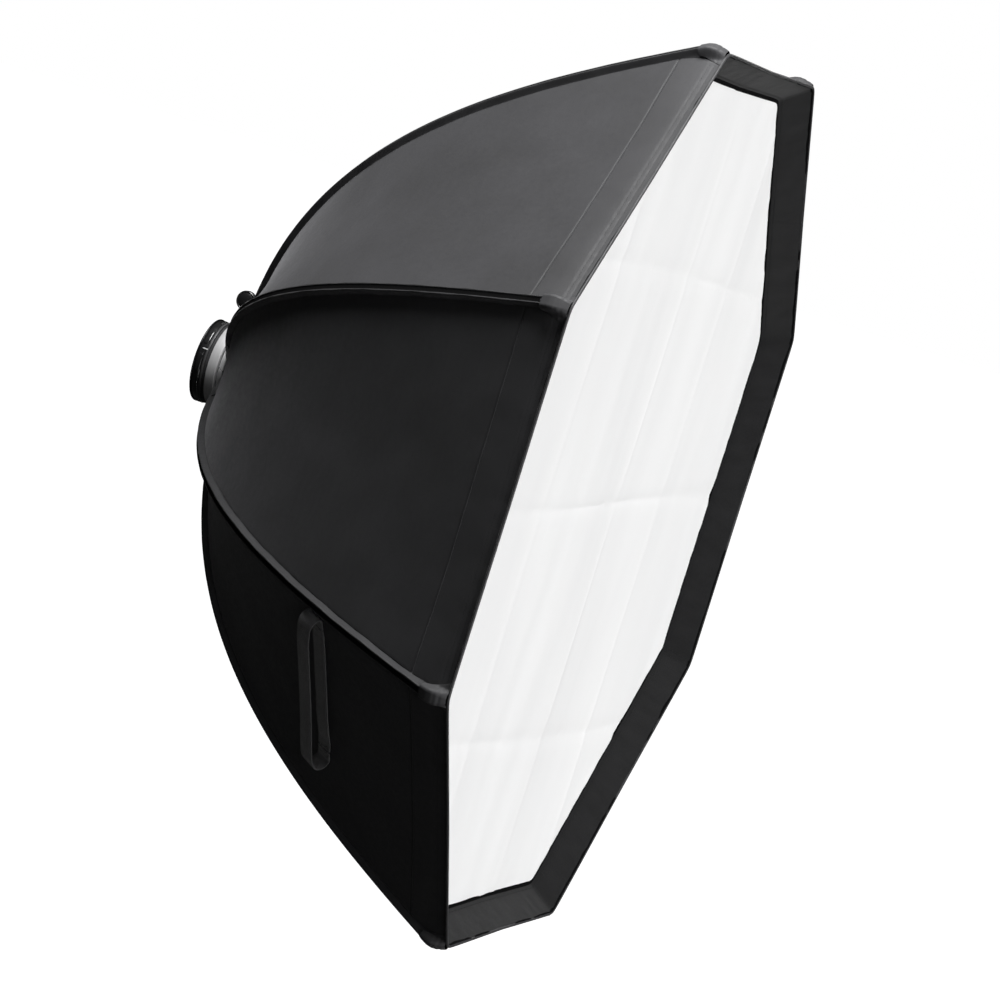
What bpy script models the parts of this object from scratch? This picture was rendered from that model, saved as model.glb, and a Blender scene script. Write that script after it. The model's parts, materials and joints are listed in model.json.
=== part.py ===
"""Octabox: an eight-sided folding softbox on a rotating lamp hub.

Metres, +Z up. The origin is the centre of the rear ring's rear face, where the box hangs on its
lamp, and the light leaves along -Y. Rings and radii are given round the Y axis.
"""
from math import atan2, cos, pi, radians, sin

import bmesh
import bpy
from mathutils import Matrix, Vector

# Driving dimensions
RIB_COUNT = 8
RIM_RADIUS = 0.650          # to a corner of the front rim: 1.20 m across the flats
BOX_DEPTH = 0.638           # rear ring's rear face to front rim
LIP_RADIUS = 0.6155         # to a corner of the return lip's inner edge
LIP_RECESS = 0.0395         # how far the lip runs back into the box
DIFFUSER_RADIUS = 0.6115
CLOTH_THICKNESS = 0.0016    # cover cloth with its lining
DIFFUSER_THICKNESS = 0.0012
SEAM_SHIFT = 0.00105        # parts neighbouring gores 0.8 mm along the middle of a panel

# Ribs: centre line in (radius, y) as a cubic curve from the hinge pin to the tip
HINGE_RADIUS = 0.061
HINGE_Y = -0.050
RIB_CURVE = ((HINGE_RADIUS, HINGE_Y), (0.345, -0.088), (0.491, -0.298), (RIM_RADIUS, -0.610))
ROD_RADIUS = 0.0032
ROD_POINTS = 13
CLOTH_DROP = 0.0066         # cover cloth's outer face below the rod's centre line
GORE_ROWS = 11
GORE_START_RADIUS = 0.090

# Rib hinges
PIN_RADIUS = 0.0020
PIN_BORE_RADIUS = 0.0023
EYE_RADIUS = 0.0052
EYE_WIDTH = 0.0100
BARREL_RADIUS = 0.0050
BARREL_LENGTH = 0.0240
ROD_BORE_RADIUS = 0.0035
ROD_SEAT = 0.0065           # hinge pin to the bottom of the rod's bore
CHEEK_THICKNESS = 0.0030
CHEEK_INNER = 0.0054        # from the rib's plane to a cheek's inner face
CAP_RADIUS = 0.0048
GAP = 0.0003

# Rings: radius and y of their faces
BORE_RADIUS = 0.0385
SLEEVE_RADIUS = 0.0500
RIM_FLANGE_RADIUS = 0.0585
GRIP_RADIUS = 0.0575
HOUSING_RADIUS = 0.0575
SPLIT_RING_RADIUS = 0.0528
PLATE_RADIUS = 0.0545
PLATE_FRONT_Y = -0.0600
RING_STEPS = 48
SPLIT_ANGLE = radians(183)

# Release lever at the top of the hub
LEVER_PIVOT = (0.0, -0.0280, 0.0645)
LEVER_REACH = 0.0290        # pivot to the middle of the thumb pad
LEVER_PAD_RADIUS = 0.0140
LEVER_PAD_THICKNESS = 0.0120
LEVER_ARM_HALF_WIDTH = 0.0046
LEVER_ARM_THICKNESS = 0.0080

# Carrying handle across the lower left panel, between ribs 5 and 6
HANDLE_ANGLE = radians(-135)
HANDLE_CURVE_PLACE = 0.765  # along the rib's curve
HANDLE_SHIFT = 0.040        # from the middle of the panel towards rib 6
WEBBING_WIDTH = 0.025
WEBBING_THICKNESS = 0.0022

# Centre lines of the handle's two straps: distance towards rib 5, height over the panel
OUTER_LOOP = (
    (-0.1290, 0.0011),
    (-0.1400, 0.0011),
    (-0.1465, 0.0025),
    (-0.1503, 0.0070),
    (-0.1508, 0.0135),
    (-0.1475, 0.0200),
    (-0.1380, 0.0245),
    (-0.1150, 0.0265),
    (-0.0600, 0.0262),
    (0.0000, 0.0258),
    (0.0500, 0.0262),
    (0.0950, 0.0272),
    (0.1180, 0.0270),
    (0.1320, 0.0242),
    (0.1402, 0.0185),
    (0.1425, 0.0120),
    (0.1418, 0.0062),
    (0.1380, 0.0025),
    (0.1320, 0.0011),
    (0.1210, 0.0011),
)
BASE_STRAP = (
    (-0.1270, 0.0011),
    (-0.1170, 0.0011),
    (-0.1050, 0.0026),
    (-0.0500, 0.0036),
    (0.0000, 0.0040),
    (0.0500, 0.0040),
    (0.0900, 0.0028),
    (0.1060, 0.0013),
    (0.1100, 0.0011),
    (0.1180, 0.0011),
)

# Colours: name, colour, roughness, metallic
FINISHES = {
    "black_nylon": ((0.020, 0.020, 0.021), 0.62, 0.0),
    "white_diffusion_cloth": ((0.86, 0.86, 0.86), 0.90, 0.0),
    "black_anodised": ((0.012, 0.012, 0.013), 0.35, 0.6),
    "gloss_black_plastic": ((0.010, 0.010, 0.011), 0.18, 0.0),
    "grey_metal": ((0.190, 0.190, 0.195), 0.38, 0.8),
    "spring_steel": ((0.300, 0.300, 0.310), 0.30, 1.0),
    "fibreglass_rod": ((0.060, 0.060, 0.062), 0.45, 0.0),
    "black_plastic": ((0.018, 0.018, 0.019), 0.50, 0.0),
    "webbing": ((0.045, 0.045, 0.047), 0.80, 0.0),
}


def clear_scene():
    for obj in list(bpy.data.objects):
        bpy.data.objects.remove(obj, do_unlink=True)


def new_collection(name):
    collection = bpy.data.collections.new(name)
    bpy.context.scene.collection.children.link(collection)
    return collection


clear_scene()
PARTS = new_collection("octabox")
CUTTERS = new_collection("cutters")


def finish_material(name):
    material = bpy.data.materials.get(name)
    if material:
        return material
    colour, roughness, metallic = FINISHES[name]
    material = bpy.data.materials.new(name)
    material.use_nodes = True
    shader = material.node_tree.nodes["Principled BSDF"]
    shader.inputs["Base Color"].default_value = (*colour, 1.0)
    shader.inputs["Roughness"].default_value = roughness
    shader.inputs["Metallic"].default_value = metallic
    return material


def place(obj, parent=None, finish=None, collection=PARTS):
    """Link an object, hang it on its parent and give it its finish."""
    if obj.name not in collection.objects:
        collection.objects.link(obj)
    obj.parent = parent
    if finish:
        obj.data.materials.clear()
        obj.data.materials.append(finish_material(finish))
    return obj


def empty(name, location, rotation=(0, 0, 0), parent=None):
    pivot = bpy.data.objects.new(name, None)
    pivot.empty_display_size = 0.02
    pivot.location = location
    pivot.rotation_euler = rotation
    return place(pivot, parent)


def make_cutter(obj):
    obj.hide_render = True
    obj.display_type = "WIRE"
    return obj


def boolean(obj, other, operation="DIFFERENCE"):
    modifier = obj.modifiers.new(f"{operation.lower()}_{other.name}", "BOOLEAN")
    modifier.operation = operation
    modifier.solver = "EXACT"
    modifier.object = other
    return obj


def smooth(mesh):
    mesh.shade_smooth()
    mesh.set_sharp_from_angle(angle=radians(35))
    return mesh


def mesh_from(bm, name):
    mesh = bpy.data.meshes.new(name)
    bm.to_mesh(mesh)
    bm.free()
    return mesh


def cylinder_mesh(name, radius, length, segments=16):
    """A cylinder along Z, centred on the origin."""
    bm = bmesh.new()
    bmesh.ops.create_cone(
        bm, cap_ends=True, segments=segments, radius1=radius, radius2=radius, depth=length
    )
    return smooth(mesh_from(bm, name))


def box_mesh(name, size, centre=(0, 0, 0)):
    bm = bmesh.new()
    bmesh.ops.create_cube(bm, size=1.0)
    bmesh.ops.scale(bm, vec=size, verts=bm.verts)
    bmesh.ops.translate(bm, vec=centre, verts=bm.verts)
    return mesh_from(bm, name)


def turned_mesh(name, profile, closed=True):
    """The open or closed outline that a Screw modifier turns round Z."""
    mesh = bpy.data.meshes.new(name)
    edges = [(i, i + 1) for i in range(len(profile) - 1)]
    if closed:
        edges.append((len(profile) - 1, 0))
    mesh.from_pydata([(r, 0, z) for r, z in profile], edges, [])
    return mesh


def turn(obj, steps=RING_STEPS):
    screw = obj.modifiers.new("turn", "SCREW")
    screw.axis = "Z"
    screw.steps = steps
    screw.render_steps = steps
    screw.use_merge_vertices = True
    screw.merge_threshold = 0.00005
    screw.use_smooth_shade = True
    return obj


def curve_to_mesh(curve_object, name):
    """The mesh that a curve object makes, with its caps welded on."""
    bpy.context.scene.collection.objects.link(curve_object)
    bpy.context.view_layer.update()
    evaluated = curve_object.evaluated_get(bpy.context.evaluated_depsgraph_get())
    mesh = bpy.data.meshes.new_from_object(evaluated)
    mesh.name = name
    bm = bmesh.new()
    bm.from_mesh(mesh)
    bmesh.ops.remove_doubles(bm, verts=bm.verts, dist=0.00002)
    bm.to_mesh(mesh)
    bm.free()
    bpy.data.objects.remove(curve_object, do_unlink=True)
    return mesh


def outline_mesh(name, points, thickness):
    """A flat outline in XY, thickened evenly to both sides of its plane."""
    curve = bpy.data.curves.new(name, "CURVE")
    curve.dimensions = "2D"
    curve.fill_mode = "BOTH"
    curve.extrude = thickness / 2
    spline = curve.splines.new("POLY")
    spline.points.add(len(points) - 1)
    for point, (x, y) in zip(spline.points, points):
        point.co = (x, y, 0, 1)
    spline.use_cyclic_u = True
    return curve_to_mesh(bpy.data.objects.new(f"{name}_outline", curve), name)


def joined_copies(name, mesh, matrices):
    """One mesh that holds a copy of a mesh at each matrix."""
    bm = bmesh.new()
    for matrix in matrices:
        copy = mesh.copy()
        copy.transform(matrix)
        bm.from_mesh(copy)
        bpy.data.meshes.remove(copy)
    return mesh_from(bm, name)


def rib_angle(k):
    """Direction of rib k round the Y axis; rib 1 is at the top right seen from the front."""
    return radians(67.5 - 45 * (k - 1))


def rib_frame(k):
    """Row axes of rib k: x outward, y along the row's Y, z along its hinge pin."""
    return Matrix.Rotation(-rib_angle(k), 4, "Y")


def rib_point(t):
    """Point of the rib's centre line as (radius, y)."""
    weights = ((1 - t) ** 3, 3 * (1 - t) ** 2 * t, 3 * (1 - t) * t * t, t ** 3)
    return Vector(tuple(sum(w * p[i] for w, p in zip(weights, RIB_CURVE)) for i in (0, 1)))


def rib_direction(t):
    step = 0.001
    return (rib_point(min(t + step, 1)) - rib_point(max(t - step, 0))).normalized()


def cloth_point(t):
    """Outer face of the cover cloth below the rod at t, as (radius, y)."""
    along = rib_direction(t)
    return rib_point(t) + CLOTH_DROP * Vector((along.y, -along.x))


def arc(centre, radius, start, end, steps):
    """Points along a circular arc, angles in radians."""
    cx, cy = centre
    angles = [start + (end - start) * i / steps for i in range(steps + 1)]
    return [(cx + radius * cos(a), cy + radius * sin(a)) for a in angles]


# The Y axis with its local Z along the row's +Y, for everything that is turned.
AXIS = empty("hub_axis", (0, 0, 0), (-pi / 2, 0, 0))


def ring(name, profile, finish, parent=AXIS):
    """A turned ring; the profile is (radius, y), down its outer side and up its inner side."""
    obj = bpy.data.objects.new(name, turned_mesh(name, profile))
    place(obj, parent, finish)
    return turn(obj)


def make_rear_ring():
    flange_y = -0.0022
    front_y = -0.0347
    recess_radius = 0.0475
    recess_y = -0.0120
    chamfer = 0.0010
    ring(
        "rear_ring",
        (
            (RIM_FLANGE_RADIUS - chamfer, 0),
            (RIM_FLANGE_RADIUS, -chamfer),
            (RIM_FLANGE_RADIUS, flange_y),
            (SLEEVE_RADIUS, flange_y),
            (SLEEVE_RADIUS, front_y),
            (BORE_RADIUS, front_y),
            (BORE_RADIUS, recess_y),
            (recess_radius, recess_y),
            (recess_radius, 0),
        ),
        "black_anodised",
    )


def make_bayonet_plate():
    """A flat ring in the rear recess with three raised lugs that the lamp's claws grip."""
    back_y, front_y = -0.0087, -0.0117
    inner, outer = 0.0390, 0.0472
    plate = ring(
        "bayonet_plate",
        ((outer, back_y), (outer, front_y), (inner, front_y), (inner, back_y)),
        "grey_metal",
    )
    lug_height, lug_overlap = 0.0040, 0.0010
    lug = box_mesh(
        "bayonet_lug",
        (0.0055, 0.0160, lug_height + lug_overlap),
        (0.0430, 0, back_y + (lug_height - lug_overlap) / 2),
    )
    turns = [Matrix.Rotation(2 * pi * i / 3, 4, "Z") for i in range(3)]
    lugs = bpy.data.objects.new("bayonet_lugs", joined_copies("bayonet_lugs", lug, turns))
    place(make_cutter(lugs), AXIS, collection=CUTTERS)
    boolean(plate, lugs, "UNION")


def make_grip_ring():
    """Locking collar with finger flats cut into its outer face."""
    back_y, front_y = -0.0026, -0.0164
    inner = SLEEVE_RADIUS + GAP
    chamfer = 0.0008
    collar = ring(
        "grip_ring",
        (
            (GRIP_RADIUS - chamfer, back_y),
            (GRIP_RADIUS, back_y - chamfer),
            (GRIP_RADIUS, front_y + chamfer),
            (GRIP_RADIUS - chamfer, front_y),
            (inner, front_y),
            (inner, back_y),
        ),
        "gloss_black_plastic",
    )
    flats = 6
    groove = box_mesh("grip_groove", (0.0030, 0.0035, 0.0300), (GRIP_RADIUS + 0.0003, 0, -0.009))
    turns = [Matrix.Rotation(2 * pi * (i + 0.5) / flats, 4, "Z") for i in range(flats)]
    grooves = bpy.data.objects.new("grip_grooves", joined_copies("grip_grooves", groove, turns))
    place(make_cutter(grooves), AXIS, collection=CUTTERS)
    boolean(collar, grooves)


def make_hub_housing():
    """Flanged bearing ring that turns on the rear ring's sleeve and carries the release lever."""
    back_y, neck_y, front_y = -0.0168, -0.0210, -0.0350
    neck_radius = 0.0555
    inner = SLEEVE_RADIUS + GAP
    housing = ring(
        "hub_housing",
        (
            (neck_radius, back_y),
            (neck_radius, neck_y),
            (HOUSING_RADIUS, neck_y - 0.0004),
            (HOUSING_RADIUS, front_y + 0.0010),
            (HOUSING_RADIUS - 0.0010, front_y),
            (inner, front_y),
            (inner, back_y),
        ),
        "grey_metal",
    )
    _, pivot_y, pivot_z = LEVER_PIVOT
    ear_thickness, ear_inner, ear_depth = 0.0028, 0.0052, 0.0105
    foot = 0.0535
    ear_top = pivot_z + 0.0045
    ear = box_mesh("lever_ear", (ear_thickness, ear_depth, ear_top - foot))
    middle = (ear_top + foot) / 2
    spots = [
        Matrix.Translation((side * (ear_inner + ear_thickness / 2), pivot_y, middle))
        for side in (-1, 1)
    ]
    ears = bpy.data.objects.new("lever_ears", joined_copies("lever_ears", ear, spots))
    place(make_cutter(ears), collection=CUTTERS)
    boolean(housing, ears, "UNION")
    bore = bpy.data.objects.new("lever_bore", cylinder_mesh("lever_bore", PIN_BORE_RADIUS, 0.03))
    bore.location = LEVER_PIVOT
    bore.rotation_euler = (0, pi / 2, 0)
    place(make_cutter(bore), collection=CUTTERS)
    boolean(housing, bore)


def make_split_ring():
    """Clamp ring round the hub's neck, parted by one slanting cut."""
    back_y, front_y = -0.0364, -0.0430
    inner = SLEEVE_RADIUS + GAP
    clamp = ring(
        "split_ring",
        (
            (SPLIT_RING_RADIUS - 0.0004, back_y),
            (SPLIT_RING_RADIUS, back_y - 0.0004),
            (SPLIT_RING_RADIUS, front_y),
            (inner, front_y),
            (inner, back_y),
        ),
        "grey_metal",
    )
    slant = radians(32)
    cut = bpy.data.objects.new("split_cut", box_mesh("split_cut", (0.010, 0.0013, 0.024)))
    middle_y = (back_y + front_y) / 2
    cut.matrix_world = (
        Matrix.Rotation(-SPLIT_ANGLE, 4, "Y")
        @ Matrix.Translation((SLEEVE_RADIUS + 0.0014, middle_y, 0))
        @ Matrix.Rotation(slant, 4, "X")
        @ Matrix.Rotation(pi / 2, 4, "X")
    )
    place(make_cutter(cut), collection=CUTTERS)
    boolean(clamp, cut)


def make_hub_plate():
    """Front plate with a neck behind it and two hinge cheeks for each rib."""
    neck_y, plate_back_y = -0.0353, -0.0478
    plate = ring(
        "hub_plate",
        (
            (SLEEVE_RADIUS, neck_y),
            (SLEEVE_RADIUS, plate_back_y),
            (PLATE_RADIUS, plate_back_y),
            (PLATE_RADIUS, PLATE_FRONT_Y),
            (BORE_RADIUS, PLATE_FRONT_Y),
            (BORE_RADIUS, neck_y),
        ),
        "black_plastic",
    )
    top_y, root_y, outer = -0.0451, -0.0482, 0.0665
    cheek = outline_mesh(
        "hinge_cheek",
        (
            (0.0562, top_y),
            (outer - 0.0015, top_y),
            (outer, top_y - 0.0015),
            (outer, -0.0520),
            (0.0590, -0.0585),
            (0.0500, -0.0585),
            (0.0500, root_y),
            (0.0562, root_y),
        ),
        CHEEK_THICKNESS,
    )
    offset = CHEEK_INNER + CHEEK_THICKNESS / 2
    spots = [
        rib_frame(k) @ Matrix.Translation((0, 0, side * offset))
        for k in range(1, RIB_COUNT + 1)
        for side in (-1, 1)
    ]
    cheeks = bpy.data.objects.new("hinge_cheeks", joined_copies("hinge_cheeks", cheek, spots))
    place(make_cutter(cheeks), collection=CUTTERS)
    boolean(plate, cheeks, "UNION")
    bore = cylinder_mesh("hinge_bore", PIN_BORE_RADIUS, 0.024, 12)
    spots = [
        rib_frame(k) @ Matrix.Translation((HINGE_RADIUS, HINGE_Y, 0))
        for k in range(1, RIB_COUNT + 1)
    ]
    bores = bpy.data.objects.new("hinge_bores", joined_copies("hinge_bores", bore, spots))
    place(make_cutter(bores), collection=CUTTERS)
    boolean(plate, bores)


def make_canopy_collar():
    """Cloth collar that closes the cover against the hub over the rib hinges."""
    thickness = 0.0012
    rear = ((0.0920, -0.0472), (0.0670, -0.0434), (0.0534, -0.0432))
    outer_rear, middle_rear, inner_rear = rear
    front = [(r, y - thickness) for r, y in rear]
    ring("canopy_collar", (outer_rear, *front, inner_rear, middle_rear), "black_nylon")


def make_release_lever():
    """Thumb lever on a pin between the housing's ears; its arm carries a thick round pad."""
    pivot = empty("release_lever_pivot", LEVER_PIVOT, (pi / 2, 0, pi / 2))
    half = LEVER_ARM_HALF_WIDTH
    root = arc((0, 0), half, pi, 2 * pi, 8)
    arm = root + [(half, LEVER_REACH), (-half, LEVER_REACH)]
    lever_mesh = outline_mesh("release_lever", arm, LEVER_ARM_THICKNESS)
    lever = bpy.data.objects.new("release_lever", lever_mesh)
    place(lever, pivot, "gloss_black_plastic")
    pad_mesh = cylinder_mesh("lever_pad", LEVER_PAD_RADIUS, LEVER_PAD_THICKNESS, 28)
    pad = bpy.data.objects.new("lever_pad", pad_mesh)
    pad.location = (0, LEVER_REACH, 0)
    place(make_cutter(pad), pivot, collection=CUTTERS)
    boolean(lever, pad, "UNION")
    bore = bpy.data.objects.new("lever_eye", cylinder_mesh("lever_eye", PIN_BORE_RADIUS, 0.03))
    place(make_cutter(bore), pivot, collection=CUTTERS)
    boolean(lever, bore)
    pin = bpy.data.objects.new("lever_pin", cylinder_mesh("lever_pin", PIN_RADIUS, 0.0158))
    pin.location = LEVER_PIVOT
    pin.rotation_euler = (0, pi / 2, 0)
    place(pin, None, "spring_steel")


def rib_direction_angle(t):
    along = rib_direction(t)
    return atan2(along.y, along.x)


def make_knuckles(pivots):
    """Rod sockets: a barrel along X joined to an eye, bored for the rod and the hinge pin."""
    eye = cylinder_mesh("knuckle_eye", EYE_RADIUS, EYE_WIDTH, 20)
    along_x = Matrix.Rotation(pi / 2, 4, "Y")
    barrel = cylinder_mesh("knuckle_barrel", BARREL_RADIUS, BARREL_LENGTH, 16)
    barrel.transform(Matrix.Translation((BARREL_LENGTH / 2, 0, 0)) @ along_x)
    rod_bore = cylinder_mesh("rod_bore", ROD_BORE_RADIUS, BARREL_LENGTH, 12)
    rod_bore.transform(Matrix.Translation((ROD_SEAT + BARREL_LENGTH / 2, 0, 0)) @ along_x)
    pin_bore = cylinder_mesh("pin_bore", PIN_BORE_RADIUS, 2 * EYE_WIDTH, 12)
    tools = (("barrel", barrel), ("rod_bore", rod_bore), ("pin_bore", pin_bore))
    tilt = rib_direction_angle(0)
    for k, pivot in pivots.items():
        knuckle = bpy.data.objects.new(f"rib_socket_{k}", eye)
        knuckle.rotation_euler = (0, 0, tilt)
        place(knuckle, pivot, "spring_steel")
        for name, mesh in tools:
            cutter = bpy.data.objects.new(f"socket_{name}_{k}", mesh)
            cutter.rotation_euler = (0, 0, tilt)
            place(make_cutter(cutter), pivot, collection=CUTTERS)
            boolean(knuckle, cutter, "UNION" if name == "barrel" else "DIFFERENCE")


def make_rods(pivots):
    """Sprung rods that bow from their sockets to the rim, seen from the hinge pin."""
    curve = bpy.data.curves.new("rib_rod", "CURVE")
    curve.dimensions = "3D"
    curve.bevel_depth = ROD_RADIUS
    curve.bevel_resolution = 2
    curve.use_fill_caps = True
    hinge = Vector((HINGE_RADIUS, HINGE_Y))
    straight = [rib_direction(0) * x for x in (ROD_SEAT + GAP, BARREL_LENGTH + 0.004)]
    bowed = [rib_point(i / (ROD_POINTS - 2)) - hinge for i in range(1, ROD_POINTS - 1)]
    spline = curve.splines.new("POLY")
    spline.points.add(ROD_POINTS - 1)
    for point, (x, y) in zip(spline.points, straight + bowed):
        point.co = (x, y, 0, 1)
    for k, pivot in pivots.items():
        rod = bpy.data.objects.new(f"rib_rod_{k}", curve)
        place(rod, pivot, "fibreglass_rod")


def make_tip_caps(pivots):
    """Round caps with a blind bore over the rods' ends."""
    length, nose, mouth = 0.0180, 0.0050, 0.0006
    profile = (
        (0, nose),
        (0.0022, nose - 0.0005),
        (CAP_RADIUS - 0.0004, nose - 0.0022),
        (CAP_RADIUS, 0),
        (CAP_RADIUS, nose - length),
        (ROD_RADIUS + GAP + mouth, nose - length),
        (ROD_RADIUS + GAP, nose - length + mouth),
        (ROD_RADIUS + GAP, GAP),
        (0, GAP),
    )
    mesh = turned_mesh("rib_cap", profile, closed=False)
    tip = rib_point(1) - Vector((HINGE_RADIUS, HINGE_Y))
    along = rib_direction(1)
    for k, pivot in pivots.items():
        cap = bpy.data.objects.new(f"rib_cap_{k}", mesh)
        cap.location = (tip.x, tip.y, 0)
        cap.rotation_mode = "QUATERNION"
        cap.rotation_quaternion = Vector((along.x, along.y, 0)).to_track_quat("Z", "Y")
        place(cap, pivot, "black_plastic")
        turn(cap, steps=12)


def make_hinge_pins(pivots):
    length = 2 * (CHEEK_INNER + CHEEK_THICKNESS) - 0.0004
    mesh = cylinder_mesh("hinge_pin", PIN_RADIUS, length, 12)
    for k in pivots:
        pin = bpy.data.objects.new(f"hinge_pin_{k}", mesh)
        frame = rib_frame(k)
        pin.matrix_world = frame @ Matrix.Translation((HINGE_RADIUS, HINGE_Y, 0))
        place(pin, None, "spring_steel")


def gore_rows():
    """Outer face of the cover from collar to rim and round the return lip, as (radius, y)."""
    start = next(i for i in range(1, 100) if cloth_point(i / 100).x >= GORE_START_RADIUS) / 100
    rows = [tuple(cloth_point(start + (1 - start) * i / (GORE_ROWS - 1))) for i in range(GORE_ROWS)]
    rows.append((RIM_RADIUS - 0.0010, -BOX_DEPTH))
    rows.append((LIP_RADIUS, LIP_RECESS - BOX_DEPTH))
    return rows


def across_panel(radius, share):
    """Point of a straight panel edge between two ribs: share 0 at the rib, 1 half way."""
    half = pi / RIB_COUNT
    x = radius * (1 - abs(share) * sin(half) ** 2)
    z = radius * share * sin(half) * cos(half)
    return x + SEAM_SHIFT, z


def make_gores(pivots):
    """Cover cloth in eight gores, each centred on its rib and reaching half a panel both ways."""
    shares = (-1, 0, 1)
    vertices = []
    for radius, y in gore_rows():
        for share in shares:
            x, z = across_panel(radius, share)
            vertices.append((x - HINGE_RADIUS, y - HINGE_Y, z))
    wide = len(shares)
    faces = []
    for row in range(len(gore_rows()) - 1):
        for column in range(wide - 1):
            a = row * wide + column
            faces.append((a, a + 1, a + wide + 1, a + wide))
    mesh = bpy.data.meshes.new("gore")
    mesh.from_pydata(vertices, [], faces)
    for k, pivot in pivots.items():
        gore = bpy.data.objects.new(f"canopy_gore_{k}", mesh)
        place(gore, pivot, "black_nylon")
        shell = gore.modifiers.new("cloth", "SOLIDIFY")
        shell.thickness = CLOTH_THICKNESS
        shell.offset = -1
        shell.use_even_offset = True


def across_flat(side):
    """Middle of the diffuser's straight edge beside a rib, in the rib's plane and across it."""
    x, z = across_panel(DIFFUSER_RADIUS, side)
    return x - SEAM_SHIFT, z


def make_diffusers(pivots):
    """White front cloth in eight kite-shaped sectors behind the lip."""
    back_y = LIP_RECESS - BOX_DEPTH
    corners = ((0, 0), across_flat(1), (DIFFUSER_RADIUS, 0), across_flat(-1))
    outline = [(x + SEAM_SHIFT - HINGE_RADIUS, z) for x, z in corners]
    mesh = outline_mesh("diffuser", outline, DIFFUSER_THICKNESS)
    mesh.transform(Matrix.Rotation(pi / 2, 4, "X"))
    for k, pivot in pivots.items():
        sector = bpy.data.objects.new(f"diffuser_sector_{k}", mesh)
        sector.location = (0, back_y - HINGE_Y + DIFFUSER_THICKNESS, 0)
        place(sector, pivot, "white_diffusion_cloth")


def strap_outline(line):
    """Edge of a strap that follows a centre line seen from its side."""
    points = [Vector(p) for p in line]
    steps = [(b - a).normalized() for a, b in zip(points, points[1:])]
    offsets = []
    for before, after in zip([steps[0], *steps], [*steps, steps[-1]]):
        along = (before + after).normalized()
        reach = WEBBING_THICKNESS / 2 / along.dot(before)
        offsets.append(Vector((-along.y, along.x)) * reach)
    above = [tuple(p + offset) for p, offset in zip(points, offsets)]
    below = [tuple(p - offset) for p, offset in zip(points, offsets)]
    return below + above[::-1]


def make_handle():
    """Webbing loop and the base strap under it, across the panel from rib 6 to rib 5."""
    seat = cloth_point(HANDLE_CURVE_PLACE)
    step = cloth_point(HANDLE_CURVE_PLACE + 0.01) - seat
    half = pi / RIB_COUNT
    slope = atan2(-step.y, step.x * cos(half))
    frame = (
        Matrix.Rotation(-HANDLE_ANGLE, 4, "Y")
        @ Matrix.Translation((seat.x * cos(half) + SEAM_SHIFT, seat.y, 0))
        @ Matrix.Rotation(-slope, 4, "Z")
        @ Matrix.Translation((0, 0.0006, -HANDLE_SHIFT))
        @ Matrix.Rotation(-pi / 2, 4, "Y")
    )
    for name, line in (("carry_handle", OUTER_LOOP), ("handle_base_strap", BASE_STRAP)):
        mesh = outline_mesh(name, strap_outline(line), WEBBING_WIDTH)
        strap = bpy.data.objects.new(name, mesh)
        place(strap, None, "webbing")
        strap.matrix_world = frame


def main():
    make_rear_ring()
    make_bayonet_plate()
    make_grip_ring()
    make_hub_housing()
    make_split_ring()
    make_hub_plate()
    make_canopy_collar()
    make_release_lever()
    pivots = {}
    for k in range(1, RIB_COUNT + 1):
        angle = rib_angle(k)
        location = (HINGE_RADIUS * cos(angle), HINGE_Y, HINGE_RADIUS * sin(angle))
        pivots[k] = empty(f"rib_pivot_{k}", location, (0, -angle, 0))
    make_hinge_pins(pivots)
    make_knuckles(pivots)
    make_rods(pivots)
    make_tip_caps(pivots)
    make_gores(pivots)
    make_diffusers(pivots)
    make_handle()


main()
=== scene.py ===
import json
from math import cos, pi, radians, sin, tan

import bmesh
import bpy
import numpy as np
from mathutils import Matrix, Vector, noise


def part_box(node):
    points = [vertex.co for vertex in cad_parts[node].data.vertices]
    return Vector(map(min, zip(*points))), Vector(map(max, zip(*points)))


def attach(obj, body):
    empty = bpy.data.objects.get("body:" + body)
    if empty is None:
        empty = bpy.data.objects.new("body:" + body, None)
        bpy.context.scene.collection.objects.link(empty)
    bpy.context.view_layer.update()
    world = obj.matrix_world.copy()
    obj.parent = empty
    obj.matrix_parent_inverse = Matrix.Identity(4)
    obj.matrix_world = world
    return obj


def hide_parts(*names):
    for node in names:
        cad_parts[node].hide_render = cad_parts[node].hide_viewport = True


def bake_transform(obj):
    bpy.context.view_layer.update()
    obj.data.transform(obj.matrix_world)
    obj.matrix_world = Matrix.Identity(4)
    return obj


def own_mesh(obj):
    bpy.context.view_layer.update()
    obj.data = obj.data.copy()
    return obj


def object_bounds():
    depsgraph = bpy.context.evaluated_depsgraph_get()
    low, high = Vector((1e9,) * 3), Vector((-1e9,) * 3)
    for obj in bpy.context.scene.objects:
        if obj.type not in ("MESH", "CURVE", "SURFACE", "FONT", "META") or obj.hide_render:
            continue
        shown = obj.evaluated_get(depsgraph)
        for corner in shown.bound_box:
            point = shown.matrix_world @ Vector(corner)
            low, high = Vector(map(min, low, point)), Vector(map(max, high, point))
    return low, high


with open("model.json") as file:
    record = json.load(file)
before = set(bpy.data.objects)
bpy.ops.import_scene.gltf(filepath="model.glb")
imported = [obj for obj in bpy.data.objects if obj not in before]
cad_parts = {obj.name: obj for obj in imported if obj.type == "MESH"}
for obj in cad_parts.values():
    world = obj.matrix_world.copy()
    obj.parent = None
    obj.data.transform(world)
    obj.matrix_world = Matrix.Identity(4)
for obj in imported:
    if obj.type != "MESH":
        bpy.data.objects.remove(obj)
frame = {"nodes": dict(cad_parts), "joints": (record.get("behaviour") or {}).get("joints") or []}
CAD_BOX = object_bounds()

# ---------------------------------------------------------------- sizes, in metres
# A length runs along the cover from its rear edge at the hub to the front rim. A share runs across
# a panel: 0 on the rib, and 1 or -1 half way to the next rib.
JOINTS = {joint["name"]: joint for joint in frame["joints"]}
RIBS = range(1, 9)
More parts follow.
